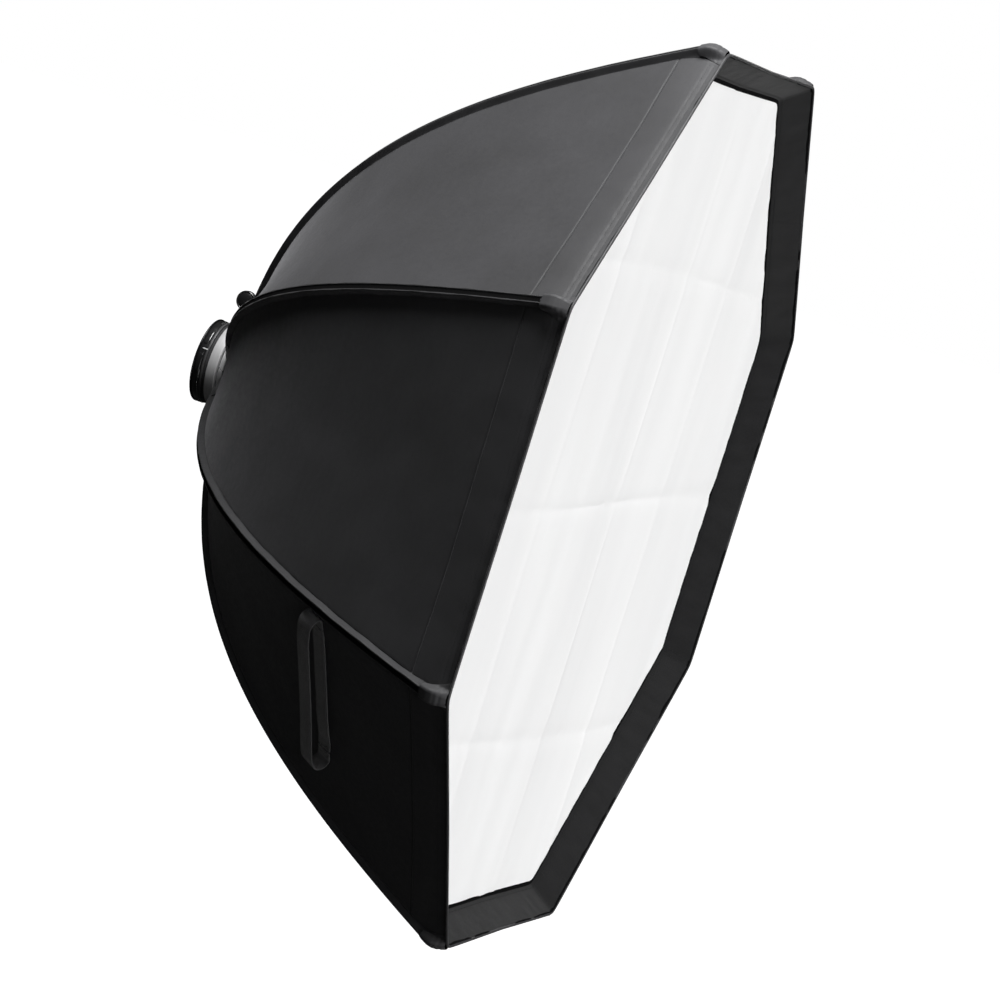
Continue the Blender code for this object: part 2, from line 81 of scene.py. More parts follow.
HALF = pi / len(RIBS)        # half of the angle between two ribs
HINGE_Y = JOINTS["rib_1_fold"]["pos_m"][1]
HINGE_RADIUS = float(np.hypot(*JOINTS["rib_1_fold"]["pos_m"][::2]))
BOX_DEPTH = -CAD_BOX[0].y
RIM_RADIUS = 0.649           # to a corner of the front rim
RIM_ROUNDING = 0.03          # of the rim's corners, as a share
LIP_RADIUS = 0.6155          # to a corner of the return lip's inner edge
LIP_RECESS = 0.0395          # from the front rim back to the diffuser
LIP_BOW = 0.0022             # how far the lip stands out between its edges
DIFFUSER_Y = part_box("diffuser_sector_1")[0].y
DIFFUSER_SPLIT = 0.560       # corner radius that parts the diffuser's rim strips from its wedges
RIB_CURVE = ((HINGE_RADIUS, HINGE_Y), (0.345, -0.088), (0.491, -0.298), (0.650, -0.610))
CLOTH_DROP = 0.0066          # from a rod's centre line to the CAD cover's outer face
COVER_START_RADIUS = 0.080
COVER_THICKNESS = 0.0009
LINING_THICKNESS = 0.0007
COVER_RAISE = 0.0041         # the thin cloth lies this far out from the CAD cloth's outer face
PANEL_SAG = 0.0085
ROD_DIP = 0.0014
HEM_WIDTH = 0.064            # from the front rim back to the hem seam
EDGE_SEAMS = (0.0095, 0.0165)
SEAM_DIPS = ((HEM_WIDTH, 0.0009), (EDGE_SEAMS[0], 0.0006), (EDGE_SEAMS[1], 0.0004))

# What is left of a cloth's width when the ribs are folded
LININGS = (                  # name, where it starts and ends along the cover, width left when folded
    ("back_lining", 0.004, 0.31, 0.66),
    ("middle_lining", 0.26, 0.45, 0.52),
    ("front_lining", 0.40, 0.58, 0.40),
    ("rim_lining", 0.54, 0.72, 0.29),
)


# ---------------------------------------------------------------- camera
def make_camera():
    """Camera at the photograph's viewing angle."""
    camera = bpy.data.objects.new("camera", bpy.data.cameras.new("camera"))
    bpy.context.scene.collection.objects.link(camera)
    right, up = Vector((0.2836, -0.9116, 0.2977)), Vector((0.0021, 0.3109, 0.9504))
    turn = Matrix((right, up, right.cross(up))).transposed().to_4x4()
    camera.matrix_world = Matrix.Translation((-5.850, -2.096, 0.496)) @ turn
    camera.data.lens = 163.3
    camera.data.clip_end = 200
    bpy.context.scene.camera = camera


make_camera()


# ---------------------------------------------------------------- materials
class Nodes:
    """Short names for the nodes of one material."""

    def __init__(self, name, colour, roughness, metallic=0.0, specular=0.5, **extra):
        self.material = bpy.data.materials.new(name)
        self.material.use_nodes = True
        self.tree = self.material.node_tree
        self.shader = self.tree.nodes["Principled BSDF"]
        sockets = self.shader.inputs
        sockets["Base Color"].default_value = (*colour, 1.0)
        sockets["Roughness"].default_value = roughness
        sockets["Metallic"].default_value = metallic
        sockets["Specular IOR Level"].default_value = specular
        for socket, value in extra.items():
            sockets[socket.replace("_", " ").title()].default_value = value
        coordinates = self.add("ShaderNodeTexCoord").outputs
        self.position, self.uv = coordinates["Object"], coordinates["UV"]
        self.normal = None

    def add(self, kind, inputs=None, **settings):
        node = self.tree.nodes.new(kind)
        for key, value in settings.items():
            setattr(node, key, value)
        for key, value in (inputs or {}).items():
            self.feed(node.inputs[key], value)
        return node

    def feed(self, socket, value):
        if isinstance(value, bpy.types.NodeSocket):
            self.tree.links.new(value, socket)
        else:
            socket.default_value = value

    def stretched(self, vector, scale):
        return self.add("ShaderNodeMapping", {"Vector": vector, "Scale": scale}).outputs["Vector"]

    def noise(self, vector, scale, detail=3.0, roughness=0.55):
        inputs = {"Vector": vector, "Scale": scale, "Detail": detail, "Roughness": roughness}
        return self.add("ShaderNodeTexNoise", inputs).outputs["Fac"]

    def bands(self, vector, pitch, direction, **inputs):
        """Height of parallel threads or ribs."""
        inputs.update({"Vector": vector, "Scale": pi / (10 * pitch)})
        settings = {"wave_type": "BANDS", "bands_direction": direction}
        return self.add("ShaderNodeTexWave", inputs, **settings).outputs["Fac"]

    def threads(self, vector, pitch):
        """Height of a plain weave of threads along U and V."""
        along, across = (self.bands(vector, pitch, axis, Distortion=0.4, Detail=1.0) for axis in "XY")
        return self.math("MAXIMUM", along, across)

    def spread(self, value, low, high, start=0.3, end=0.7):
        """A value between start and end spread over low to high."""
        inputs = {"Value": value, "From Min": start, "From Max": end, "To Min": low, "To Max": high}
        return self.add("ShaderNodeMapRange", inputs).outputs["Result"]

    def math(self, operation, a, b):
        return self.add("ShaderNodeMath", {0: a, 1: b}, operation=operation).outputs["Value"]

    def weighed(self, a, share, b):
        """A share of one value and the rest of another."""
        return self.math("ADD", self.math("MULTIPLY", a, share), self.math("MULTIPLY", b, 1 - share))

    def mix(self, factor, a, b):
        node = self.add("ShaderNodeMix", data_type="RGBA")
        for number, value in ((0, factor), (6, a), (7, b)):
            self.feed(node.inputs[number], (*value, 1.0) if isinstance(value, tuple) else value)
        return node.outputs[2]

    def colour(self, value):
        self.feed(self.shader.inputs["Base Color"], value)

    def tint(self, value, low, high):
        """Colour from low to high as a texture's value rises."""
        self.colour(self.mix(self.spread(value, 0, 1), low, high))

    def rough(self, value, low, high):
        """Roughness from low to high as a texture's value rises."""
        self.feed(self.shader.inputs["Roughness"], self.spread(value, low, high))

    def bump(self, height, distance, strength=1.0):
        """Lays one more relief over those before it."""
        inputs = {"Height": height, "Distance": distance, "Strength": strength}
        if self.normal:
            inputs["Normal"] = self.normal
        self.normal = self.add("ShaderNodeBump", inputs).outputs["Normal"]
        self.feed(self.shader.inputs["Normal"], self.normal)


def black_nylon(name, low, high):
    """Tightly woven coated nylon: fine weave, faint creases and a soft sheen."""
    n = Nodes(
        name, low, 0.58, specular=0.20, sheen_weight=0.20, sheen_roughness=0.45,
        sheen_tint=(0.85, 0.85, 0.88, 1),
    )
    n.tint(n.noise(n.position, 7.0, 4.0), low, high)
    n.rough(n.noise(n.position, 130.0, 2.0), 0.47, 0.60)
    n.bump(n.threads(n.uv, 0.0008), 0.00006, 0.6)
    n.bump(n.noise(n.stretched(n.uv, (9, 26, 1)), 1.0, 3.0), 0.0016, 0.35)
    n.bump(n.noise(n.position, 60.0, 3.0), 0.0002, 0.5)
    return n.material


def binding_tape():
    """Folded ribbon over the seams, a little smoother than the cover."""
    n = Nodes(
        "binding_tape", (0.030, 0.030, 0.031), 0.50, specular=0.40, sheen_weight=0.16, sheen_roughness=0.35
    )
    n.tint(n.noise(n.position, 45.0, 4.0), (0.024, 0.024, 0.025), (0.038, 0.038, 0.040))
    n.rough(n.noise(n.position, 300.0, 2.0), 0.42, 0.58)
    n.bump(n.bands(n.uv, 0.0011, "Y", Distortion=0.3), 0.00012, 0.7)
    n.bump(n.noise(n.position, 90.0, 3.0), 0.0003, 0.5)
    return n.material


def loop_cloth():
    """Brushed loop cloth of the return lip: matte, mottled and slightly wrinkled."""
    n = Nodes(
        "loop_cloth", (0.010, 0.010, 0.0105), 0.92, specular=0.12, sheen_weight=0.09, sheen_roughness=0.6
    )
    pile = n.noise(n.position, 900.0, 3.0, 0.7)
    brushed = n.noise(n.stretched(n.uv, (38, 10, 1)), 1.0, 4.0)
    n.tint(n.weighed(pile, 0.55, brushed), (0.0045, 0.0045, 0.0048), (0.013, 0.013, 0.0138))
    n.rough(pile, 0.84, 0.97)
    n.bump(pile, 0.0006, 0.6)
    n.bump(brushed, 0.0014, 0.5)
    return n.material


def black_backing_and_painted_shade():
    """Near-black matte cloth: the backing of the sheets and the inside of the cover at the rim, and painted
    shade in the channels over the rods and between the lip and the diffuser.
    """
    n = Nodes("black_backing_and_painted_shade", (0.004, 0.004, 0.0042), 0.98, specular=0.05)
    felt = n.noise(n.position, 1200.0, 2.0, 0.7)
    n.tint(felt, (0.0025, 0.0025, 0.0026), (0.006, 0.006, 0.0063))
    n.rough(felt, 0.93, 1.0)
    n.bump(felt, 0.0004, 0.5)
    return n.material


def silver_lining():
    """Embossed metallised lining of the light chamber."""
    n = Nodes("silver_lining", (0.62, 0.62, 0.63), 0.36, metallic=0.85)
    cells = n.add("ShaderNodeTexVoronoi", {"Vector": n.uv, "Scale": 330.0}, feature="DISTANCE_TO_EDGE")
    n.bump(cells.outputs["Distance"], 0.0005, 0.6)
    n.rough(n.noise(n.position, 25.0), 0.30, 0.44)
    n.tint(n.noise(n.position, 9.0), (0.56, 0.56, 0.57), (0.66, 0.66, 0.67))
    return n.material


def white_cloth():
    """Matte white diffusion cloth, finely woven, with soft storage creases."""
    n = Nodes("white_cloth", (0.90, 0.90, 0.90), 0.95, specular=0.12, sheen_weight=0.08)
    n.bump(n.threads(n.uv, 0.0007), 0.00005, 0.5)
    drift = n.noise(n.stretched(n.position, (3.0, 1.0, 0.9)), 2.2, 3.0)
    n.bump(drift, 0.004, 0.35)
    n.tint(drift, (0.875, 0.875, 0.877), (0.915, 0.915, 0.915))
    n.rough(n.noise(n.position, 200.0, 2.0), 0.88, 1.0)
    return n.material


def ribbed_webbing():
    """Heavy polyester webbing: ribs across the strap and a finer weave along it."""
    n = Nodes(
        "ribbed_webbing", (0.040, 0.040, 0.042), 0.78, specular=0.28, sheen_weight=0.35, sheen_roughness=0.5
    )
    ribs = n.bands(n.uv, 0.0016, "Y", Distortion=0.25)
    weave = n.weighed(ribs, 0.7, n.threads(n.uv, 0.0006))
    worn = n.noise(n.position, 35.0, 4.0)
    n.tint(n.weighed(weave, 0.4, worn), (0.045, 0.045, 0.047), (0.085, 0.085, 0.088))
    n.rough(worn, 0.70, 0.88)
    n.bump(weave, 0.0004, 0.8)
    return n.material


def sewing_thread():
    """Twisted black thread."""
    n = Nodes("sewing_thread", (0.010, 0.010, 0.0105), 0.70, specular=0.20)
    twist = n.noise(n.position, 1500.0, 2.0)
    n.tint(twist, (0.006, 0.006, 0.006), (0.014, 0.014, 0.0145))
    n.rough(twist, 0.50, 0.72)
    return n.material


def turned_metal(name, low, high, roughness, metallic):
    """Lathe-turned metal: fine rings round the hub's axis, smudges and brighter worn edges."""
    n = Nodes(name, high, roughness, metallic)
    parts = n.add("ShaderNodeSeparateXYZ", {"Vector": n.position}).outputs
    flat = n.add("ShaderNodeCombineXYZ", {"X": parts["X"], "Y": parts["Z"]}).outputs["Vector"]
    radius = n.add("ShaderNodeVectorMath", {0: flat}, operation="LENGTH").outputs["Value"]
    rings = n.add("ShaderNodeCombineXYZ", {"X": radius, "Y": parts["Y"]}).outputs["Vector"]
    lathe = n.noise(rings, 2600.0, 2.0, 0.7)
    n.bump(lathe, 0.00004, 0.55)
    n.rough(n.noise(n.position, 70.0, 4.0), roughness * 0.80, roughness * 1.25)
    edges = n.add("ShaderNodeNewGeometry").outputs["Pointiness"]
    worn = n.math("MULTIPLY", n.spread(edges, 0.0, 1.0, 0.53, 0.60), 0.5)
    base = n.mix(n.spread(lathe, 0, 1), low, high)
    n.colour(n.mix(worn, base, tuple(min(1.0, 2.0 * c) for c in high)))
    return n.material


def moulded_plastic(name, colour, roughness, grain, coat=0.0):
    """Moulded plastic: spark-eroded grain or a polish with faint finger smudges."""
    n = Nodes(name, colour, roughness, coat_weight=coat, coat_roughness=0.12)
    n.bump(n.noise(n.position, 900.0, 3.0, 0.6), 0.00008, grain)
    smudges = n.noise(n.position, 55.0, 4.0)
    n.rough(smudges, roughness * 0.8, roughness * 1.35)
    n.tint(smudges, colour, tuple(1.5 * c for c in colour))
    return n.material


def fibreglass():
    """Pultruded rod with fine glass streaks."""
    n = Nodes("fibreglass", (0.05, 0.05, 0.052), 0.42)
    streaks = n.noise(n.position, 700.0, 3.0, 0.8)
    n.tint(streaks, (0.030, 0.030, 0.031), (0.085, 0.085, 0.087))
    n.rough(streaks, 0.34, 0.52)
    n.bump(streaks, 0.00008, 0.5)
    return n.material


NYLON = black_nylon("black_nylon", (0.026, 0.026, 0.027), (0.034, 0.034, 0.036))
POCKET = black_nylon("pocket_cloth", (0.030, 0.030, 0.0315), (0.042, 0.042, 0.044))
TAPE = binding_tape()
LOOP = loop_cloth()
# near-black cloth: the sheets' backing, and painted shade in the rod channels and beside the diffuser
BACKING_AND_PAINTED_SHADE = black_backing_and_painted_shade()
LINING = silver_lining()
WHITE = white_cloth()
WEBBING = ribbed_webbing()
THREAD = sewing_thread()
BLACK_METAL = turned_metal("black_metal", (0.010, 0.010, 0.011), (0.018, 0.018, 0.019), 0.34, 0.6)
# darker turned metal: the grip ring's rear band, and painted shade on the housing's recessed neck
BAND_METAL_AND_PAINTED_SHADE = turned_metal("band_metal_and_painted_shade", (0.035, 0.035, 0.036), (0.055, 0.055, 0.057), 0.50, 0.3)
GREY_METAL = turned_metal("grey_metal", (0.36, 0.36, 0.365), (0.46, 0.46, 0.465), 0.55, 0.2)
BRIGHT_METAL = turned_metal("bright_metal", (0.38, 0.38, 0.39), (0.50, 0.50, 0.51), 0.32, 1.0)
GLOSS = moulded_plastic("gloss_black_plastic", (0.009, 0.009, 0.0095), 0.20, 0.1, coat=0.6)
PLASTIC = moulded_plastic("black_plastic", (0.014, 0.014, 0.015), 0.48, 0.6)
PALE_MARK = moulded_plastic("pale_mark", (0.42, 0.42, 0.42), 0.45, 0.3)
ROD = fibreglass()


# ---------------------------------------------------------------- geometry helpers
def stacked(*parts):
    """Arrays brought to one shape and stacked along a new last axis."""
    return np.stack(np.broadcast_arrays(*parts), axis=-1)


def unit(vectors):
    return vectors / np.linalg.norm(vectors, axis=-1)[..., None]


def reach_along(points):
    """Length along a line of points to each of them."""
    return np.concatenate(((0,), np.cumsum(np.linalg.norm(np.diff(points, axis=0), axis=1))))


def bell(x, width):
    return np.exp(-((x / width) ** 2))


def ease(x):
    x = np.clip(x, 0, 1)
    return x * x * (3 - 2 * x)


def cloth_noise(points, scale, seed):
    """Smooth noise at points of the row frame, from -1 to 1."""
    flat = (points * scale).reshape(-1, 3)
    values = [noise.noise(Vector((x + seed, y, z)), noise_basis="PERLIN_ORIGINAL") for x, y, z in flat]
    return np.array(values).reshape(points.shape[:-1])


def rib_angle(k):
    """Direction of rib k round the Y axis, as its hinge is placed."""
    x, _, z = JOINTS[f"rib_{k}_fold"]["pos_m"]
    return float(np.arctan2(z, x))


def rib_frame(k):
    """Row axes of rib k as columns: outward, along the row's Y, and across the rib."""
    return np.array(Matrix.Rotation(-rib_angle(k), 3, "Y"))


# ---------------------------------------------------------------- places on the cover
def rib_line(t):
    """(radius, y) of a rod's centre line."""
    t = np.asarray(t, float)[..., None]
    weights = ((1 - t) ** 3, 3 * (1 - t) ** 2 * t, 3 * (1 - t) * t * t, t ** 3)
    return sum(w * np.array(p) for w, p in zip(weights, RIB_CURVE))


def cover_profile():
    """CAD cover's outer face under a rib, as (radius, y) and the length along it."""
    line = rib_line(np.linspace(0.0, 1.0, 801))
    along = unit(np.gradient(line, axis=0))
    face = line + CLOTH_DROP * np.stack((along[:, 1], -along[:, 0]), axis=1)
    face = face[face[:, 0] >= COVER_START_RADIUS]
    steps = np.linspace(0, 1, 30)[1:, None]
    face = np.concatenate((face, face[-1] + steps * (np.array((RIM_RADIUS, -BOX_DEPTH)) - face[-1])))
    return face, reach_along(face)


PROFILE, PROFILE_LENGTH = cover_profile()
COVER_LENGTH = float(PROFILE_LENGTH[-1])


def under_rib(length):
    """(radius, y) of the cover under a rib."""
    return tuple(np.interp(length, PROFILE_LENGTH, PROFILE[:, i]) for i in (0, 1))


def rib_slope(length):
    """Unit direction of the cover under a rib, as (radius, y)."""
    step = 0.004
    back, ahead = (
        np.stack(under_rib(np.clip(length + s, 0, COVER_LENGTH)), axis=-1) for s in (-step, step)
    )
    return unit(ahead - back)


def eight_sided(radius, y, share, rounding=RIM_ROUNDING):
    """Point in a rib's frame on an eight-sided ring with a radius to its corners."""
    soft = (np.sqrt(share ** 2 + rounding ** 2) - rounding) / (np.sqrt(1 + rounding ** 2) - rounding)
    return stacked(radius * (1 - soft * sin(HALF) ** 2), y, radius * share * sin(HALF) * cos(HALF))


def panel_normal(length, share):
    """Outward normal of the panel on one side of a rib."""
    x, y = np.moveaxis(rib_slope(length), -1, 0)
    side = np.where(share < 0, -1.0, 1.0)
    return unit(stacked(-y * cos(HALF), x * cos(HALF), -y * sin(HALF) * side))


def cover_raise(length):
    """How far the cloth lies out from the CAD cloth: none at the hub's end and at the front rim."""
    from_rim = COVER_LENGTH - np.asarray(length, float)
    return COVER_RAISE * ease((length - 0.008) / 0.022) * ease((from_rim - 0.022) / 0.040)


def cover_point(k, length, share, raised=0.0, dip=ROD_DIP):
    """Point of the cover's outer face in the row frame, sagged between the ribs and creased."""
    length, share = np.broadcast_arrays(np.asarray(length, float), np.asarray(share, float))
    base = eight_sided(*under_rib(length), share, 0.012)
    world = base @ rib_frame(k).T
    from_rim = COVER_LENGTH - length
    from_rib = np.abs(share) * under_rib(length)[0] * sin(HALF)
    lift = cover_raise(length) - dip / (1 + (from_rib / 0.0052) ** 8)
    arch = np.clip(np.sin(pi * np.clip(length / COVER_LENGTH, 0, 1)), 0, 1) ** 0.6
    lift = lift - PANEL_SAG * (1 - (1 - np.abs(share)) ** 2) * arch * ease(from_rim / 0.060)
    waves = 0.0016 * cloth_noise(world, 5.0, 3.0) * np.clip(from_rim / 0.05, 0, 1)
    waves = waves + 0.0007 * cloth_noise(world, 17.0, 11.0)
    puckers = 0.0007 * cloth_noise(world * np.array((1.0, 0.25, 1.0)), 55.0, 5.0)
    puckers = puckers * (bell(from_rim, 0.030) + 0.5 * bell(from_rim - HEM_WIDTH, 0.022))
    lift = lift + (waves + puckers) * np.clip(np.abs(share) * 4, 0, 1)
    for seam, depth in SEAM_DIPS:
        lift = lift - depth * bell(from_rim - seam, 0.0016)
    return (base + (lift + raised)[..., None] * panel_normal(length, share)) @ rib_frame(k).T


# ---------------------------------------------------------------- mesh helpers
def new_object(name, data):
    obj = bpy.data.objects.new(name, data)
    bpy.context.scene.collection.objects.link(obj)
    return obj


def new_mesh(name, vertices, faces, *materials):
    mesh = bpy.data.meshes.new(name)
    mesh.from_pydata(np.asarray(vertices).tolist(), [], faces)
    for material in materials:
        mesh.materials.append(material)
    return mesh


def smooth(mesh, angle=40):
    mesh.shade_smooth()
    mesh.set_sharp_from_angle(angle=radians(angle))


def solid_object(name, mesh, angle=40):
    """An object of a closed mesh, smooth up to an angle between faces, with its faces turned out."""
    smooth(mesh, angle)
    points = np.array([v.co for v in mesh.vertices])
    mesh.calc_loop_triangles()
    a, b, c = points[np.array([t.vertices for t in mesh.loop_triangles]).T]
    if np.einsum("ij,ij->i", a, np.cross(b, c)).sum() < 0:
        mesh.flip_normals()
    return new_object(name, mesh)


def set_uv(mesh, uv):
    """Gives each face corner the UV of its vertex, and returns the vertex of each corner."""
    corners = np.zeros(len(mesh.loops), np.int32)
    mesh.loops.foreach_get("vertex_index", corners)
    layer = mesh.uv_layers.new(name="UVMap")
    layer.data.foreach_set("uv", uv.reshape(-1, 2)[corners].astype(np.float32).ravel())
    return corners


def paint_faces(obj, material, chosen):
    """Gives the chosen faces of a mesh another material."""
    mesh = obj.data
    if mesh.materials.find(material.name) < 0:
        mesh.materials.append(material)
    index = np.zeros(len(mesh.polygons), np.int32)
    mesh.polygons.foreach_get("material_index", index)
    index[chosen] = mesh.materials.find(material.name)
    mesh.polygons.foreach_set("material_index", index)


def grid_normals(points):
    """Unit normals of a grid of points."""
    n = np.cross(np.gradient(points, axis=1), np.gradient(points, axis=0))
    return n / np.maximum(np.linalg.norm(n, axis=-1), 1e-12)[..., None]


def grid_faces(rows, columns, first=0, flip=False):
    i, j = np.meshgrid(np.arange(rows - 1), np.arange(columns - 1), indexing="ij")
    a = (first + i * columns + j).ravel()
    faces = np.stack((a, a + 1, a + columns + 1, a + columns), axis=1)
    return faces[:, ::-1] if flip else faces


def edge_faces(rows, columns):
    """Faces that join the edges of an outer grid to those of the inner grid after it."""
    grid = np.arange(rows * columns).reshape(rows, columns)
    edge = np.concatenate((grid[0], grid[1:, -1], grid[-1, -2::-1], grid[-2:0:-1, 0]))
    after = np.roll(edge, -1)
    return np.stack((after, edge, edge + grid.size, after + grid.size), axis=1)


def cloth_object(name, points, uv, thickness, outer, inner, outward, trim=0):
    """A closed sheet: an outer grid, an inner grid below it and edges that join them.

    trim columns at each side are there only for the normals, so that neighbouring sheets meet
    with no visible line.
    """
    normals = grid_normals(points)
    flip = bool(np.sum(normals * outward) < 0)
    if flip:
        normals = -normals
    keep = slice(trim, points.shape[1] - trim)
    points, normals, uv = points[:, keep], normals[:, keep], uv[:, keep]
    rows, columns = points.shape[:2]
    front = grid_faces(rows, columns, 0, flip)
    back = grid_faces(rows, columns, rows * columns, not flip)
    sides = edge_faces(rows, columns)
    faces = np.concatenate((front, back, sides[:, ::-1] if flip else sides))
    vertices = np.concatenate((points.reshape(-1, 3), (points - thickness * normals).reshape(-1, 3)))
    mesh = new_mesh(name, vertices, faces.tolist(), outer, inner)
    number = np.arange(len(faces))
    on_back = (number >= len(front)) & (number < 2 * len(front))
    mesh.polygons.foreach_set("material_index", on_back.astype(np.int32))
    corners = set_uv(mesh, np.concatenate((uv, uv)))
    smooth(mesh)
    corner_normals = np.concatenate((normals.reshape(-1, 3), -normals.reshape(-1, 3)))[corners]
    flat = np.zeros((len(faces), 3), np.float32)
    mesh.polygons.foreach_get("normal", flat.ravel())
    on_side = np.repeat(number >= 2 * len(front), 4)
    corner_normals[on_side] = np.repeat(flat, 4, axis=0)[on_side]
    mesh.normals_split_custom_set(corner_normals.tolist())
    return new_object(name, mesh)


def tube_faces(rings, columns, capped=True):
    """Faces of a tube of rings with columns vertices each, with or without its ends."""
    i, j = np.meshgrid(np.arange(rings - 1), np.arange(columns), indexing="ij")
    a, b = (i * columns + j).ravel(), (i * columns + (j + 1) % columns).ravel()
    faces = np.stack((a, b, b + columns, a + columns), axis=1).tolist()
    if capped:
        faces.append(list(range(columns))[::-1])
        faces.append([(rings - 1) * columns + c for c in range(columns)])
    return faces


def tube_object(name, path, section, normals, material):
    """A closed tube: a section of (across, up) points swept along a path."""
    along = unit(np.gradient(path, axis=0))
    side = unit(np.cross(along, normals))
    up = np.cross(side, along)
    section = np.asarray(section, float)
    rings = path[:, None] + section[:, :1] * side[:, None] + section[:, 1:] * up[:, None]
    mesh = new_mesh(name, rings.reshape(-1, 3), tube_faces(*rings.shape[:2]), material)
    around, length = np.meshgrid(reach_along(section), reach_along(path))
    set_uv(mesh, np.stack((around, length), axis=-1))
    return solid_object(name, mesh, 50)


def oval(width, height):
    """An oval section as (across, up)."""
    angles = np.linspace(0, 2 * pi, 10, endpoint=False)
    return np.stack((width * np.cos(angles), height * np.sin(angles)), axis=1)


def stitches_object(name, runs, pitch=0.0045, length=0.0031, size=0.00042):
    """Stitches along lines on a cloth. A run is (points, normals), close together."""
    vertices, faces = [], []
    for points, normals in runs:
        reach = reach_along(points)
        for start in np.arange(0.3 * pitch, reach[-1] - length, pitch):
            places = start + length * np.array((0.0, 0.5, 1.0))
            a, m, b = (np.array([np.interp(p, reach, points[:, i]) for i in range(3)]) for p in places)
            up = np.array([np.interp(places[1], reach, normals[:, i]) for i in range(3)])
            side = unit(np.cross(b - a, up))
            first = len(vertices)
            ring = [m + size * side, m + size * up * 1.1, m - size * side, m - size * up]
            vertices += [a - size * 0.5 * up, *ring, b - size * 0.5 * up]
            for i in range(4):
                j = (i + 1) % 4
                faces.append((first, first + 1 + j, first + 1 + i))
                faces.append((first + 5, first + 1 + i, first + 1 + j))
    return solid_object(name, new_mesh(name, vertices, faces, THREAD), 180)


# ---------------------------------------------------------------- what the pieces belong to
def place(obj, body, node=None):
    """Rides a piece on a body and hides the CAD node that it replaces."""
    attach(obj, body)
    if node:
        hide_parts(node)
    return obj


def fold_with(obj, k):
    """Rides on rib k, with a mesh of its own."""
    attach(obj, f"rib_{k}")
    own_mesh(obj)
    return obj


def rib_sheet(k, name, points, uv, thickness, outer, inner, outward=None, trim=1):
    """A sheet of cloth that folds with rib k and faces out from it unless told otherwise."""
    outward = rib_frame(k)[:, 0] if outward is None else outward
    sheet = cloth_object(f"{name}_{k}", points, uv, thickness, outer, inner, outward, trim)
    return fold_with(sheet, k)


# ---------------------------------------------------------------- cover
ROW_STEP = 0.0115
SEAM_ROWS = (                # a seam's distance from the rim, and its rows of vertices, in mm
    (HEM_WIDTH, (-3, -1.6, -0.7, 0, 0.7, 1.6, 3)),
    (0.013, (-9, -5.5, -3.5, -2, 2, 3.5, 5.5)),
)
FELT_WIDTH = 0.050           # of black cloth inside the cover at the rim
LAYER_GAP = 0.0012           # from one lining down to the next


def cover_rows():
    """Lengths along the cover, closer together at its seams."""
    rows = list(np.arange(0, COVER_LENGTH, ROW_STEP))
    for seam, gaps in SEAM_ROWS:
        middle = COVER_LENGTH - seam
        rows = [r for r in rows if abs(r - middle) > 0.011] + [middle + gap / 1000 for gap in gaps]
    return np.array(sorted(rows + [COVER_LENGTH - 0.001, COVER_LENGTH]))


def shares_across(columns):
    """Shares from one panel's middle to the next, finer beside the rib, with one more at each end."""
    even = np.linspace(-1, 1, columns)
    bent = even * (0.45 + 0.55 * np.abs(even))
    step = bent[1] - bent[0]
    return np.concatenate(((bent[0] - step,), bent, (bent[-1] + step,)))[None, :]


def shares_beside_rod(length):
    """Shares for each row: at even distances close to the rod, then spread out to the panel's middle."""
    width = under_rib(length)[0] * sin(HALF)
    near = np.array((0.0, 0.0012, 0.0024, 0.0036, 0.0048, 0.0062, 0.0080))[None, :] / width
    far = 0.0110 / width + (1 - 0.0110 / width) * np.linspace(0, 1, 30)[None, :]
    last = 2 * far[:, -1:] - far[:, -2:-1]
    half = np.concatenate((near, far, last), axis=1)
    return np.concatenate((-half[:, :0:-1], half), axis=1)


def gore_uv(length, share):
    return stacked(under_rib(length)[0] * share * sin(HALF), length)


def make_cover(k):
    """Cover gore k, from the middle of one panel to the middle of the next."""
    length = cover_rows()[:, None]
    share = shares_beside_rod(length)
    points = cover_point(k, length, share)
    gore = rib_sheet(k, "cover_gore", points, gore_uv(length, share), COVER_THICKNESS, NYLON, LINING)
    hem = np.repeat(length[1:, 0] > COVER_LENGTH - FELT_WIDTH, share.shape[1] - 3)
    paint_faces(gore, BACKING_AND_PAINTED_SHADE, len(hem) + np.nonzero(hem)[0])
    return gore


def make_lining(k, name, start, end, layer):
    """Black-backed silver lining under the cover."""
    length = np.linspace(start, end, 40)[:, None]
    share = shares_across(33)
    below = COVER_THICKNESS + 0.0006 + LAYER_GAP * layer + ROD_DIP
    points = cover_point(k, length, share, -below, 0.0)
    return rib_sheet(k, name, points, gore_uv(length, share), LINING_THICKNESS, NYLON, LINING)


def make_cover_stitches(k):
    """Rows of stitches beside the hem seam and along the front edge."""
    runs = []
    for from_rim in (HEM_WIDTH - 0.0028, *EDGE_SEAMS):
        length = COVER_LENGTH - from_rim
        for shares in (np.linspace(-1, -0.08, 60), np.linspace(0.08, 1, 60)):
            runs.append((cover_point(k, length, shares), panel_normal(length, shares) @ rib_frame(k).T))
    return fold_with(stitches_object(f"cover_stitches_{k}", runs), k)


POCKET_LENGTH = 0.034
POCKET_START, POCKET_FLARE = 0.0084, 0.0142   # half of its width at its start, and what the rim adds
POCKET_BULGE = 0.0126        # over the rod
SLEEVE_END = 0.031           # from the front rim back to the sleeve's end in the tip pocket
RIDGE = (                    # half of the sleeve's section: (across, above the rod's centre line)
    (0.0000, 0.0041), (0.0016, 0.0041), (0.0028, 0.0042), (0.0033, 0.0046), (0.0039, 0.0050),
    (0.0046, 0.0051), (0.0053, 0.0048), (0.0057, 0.0040), (0.0059, 0.0024), (0.0061, 0.0000),
    (0.0063, -0.0030), (0.0067, -0.0049), (0.0077, -0.0066),
)
# the groove inside this edge is painted near-black as shade
GROOVE_EDGE = 0.0031         # from the middle of the sleeve
BEAD_EDGE = 0.0056


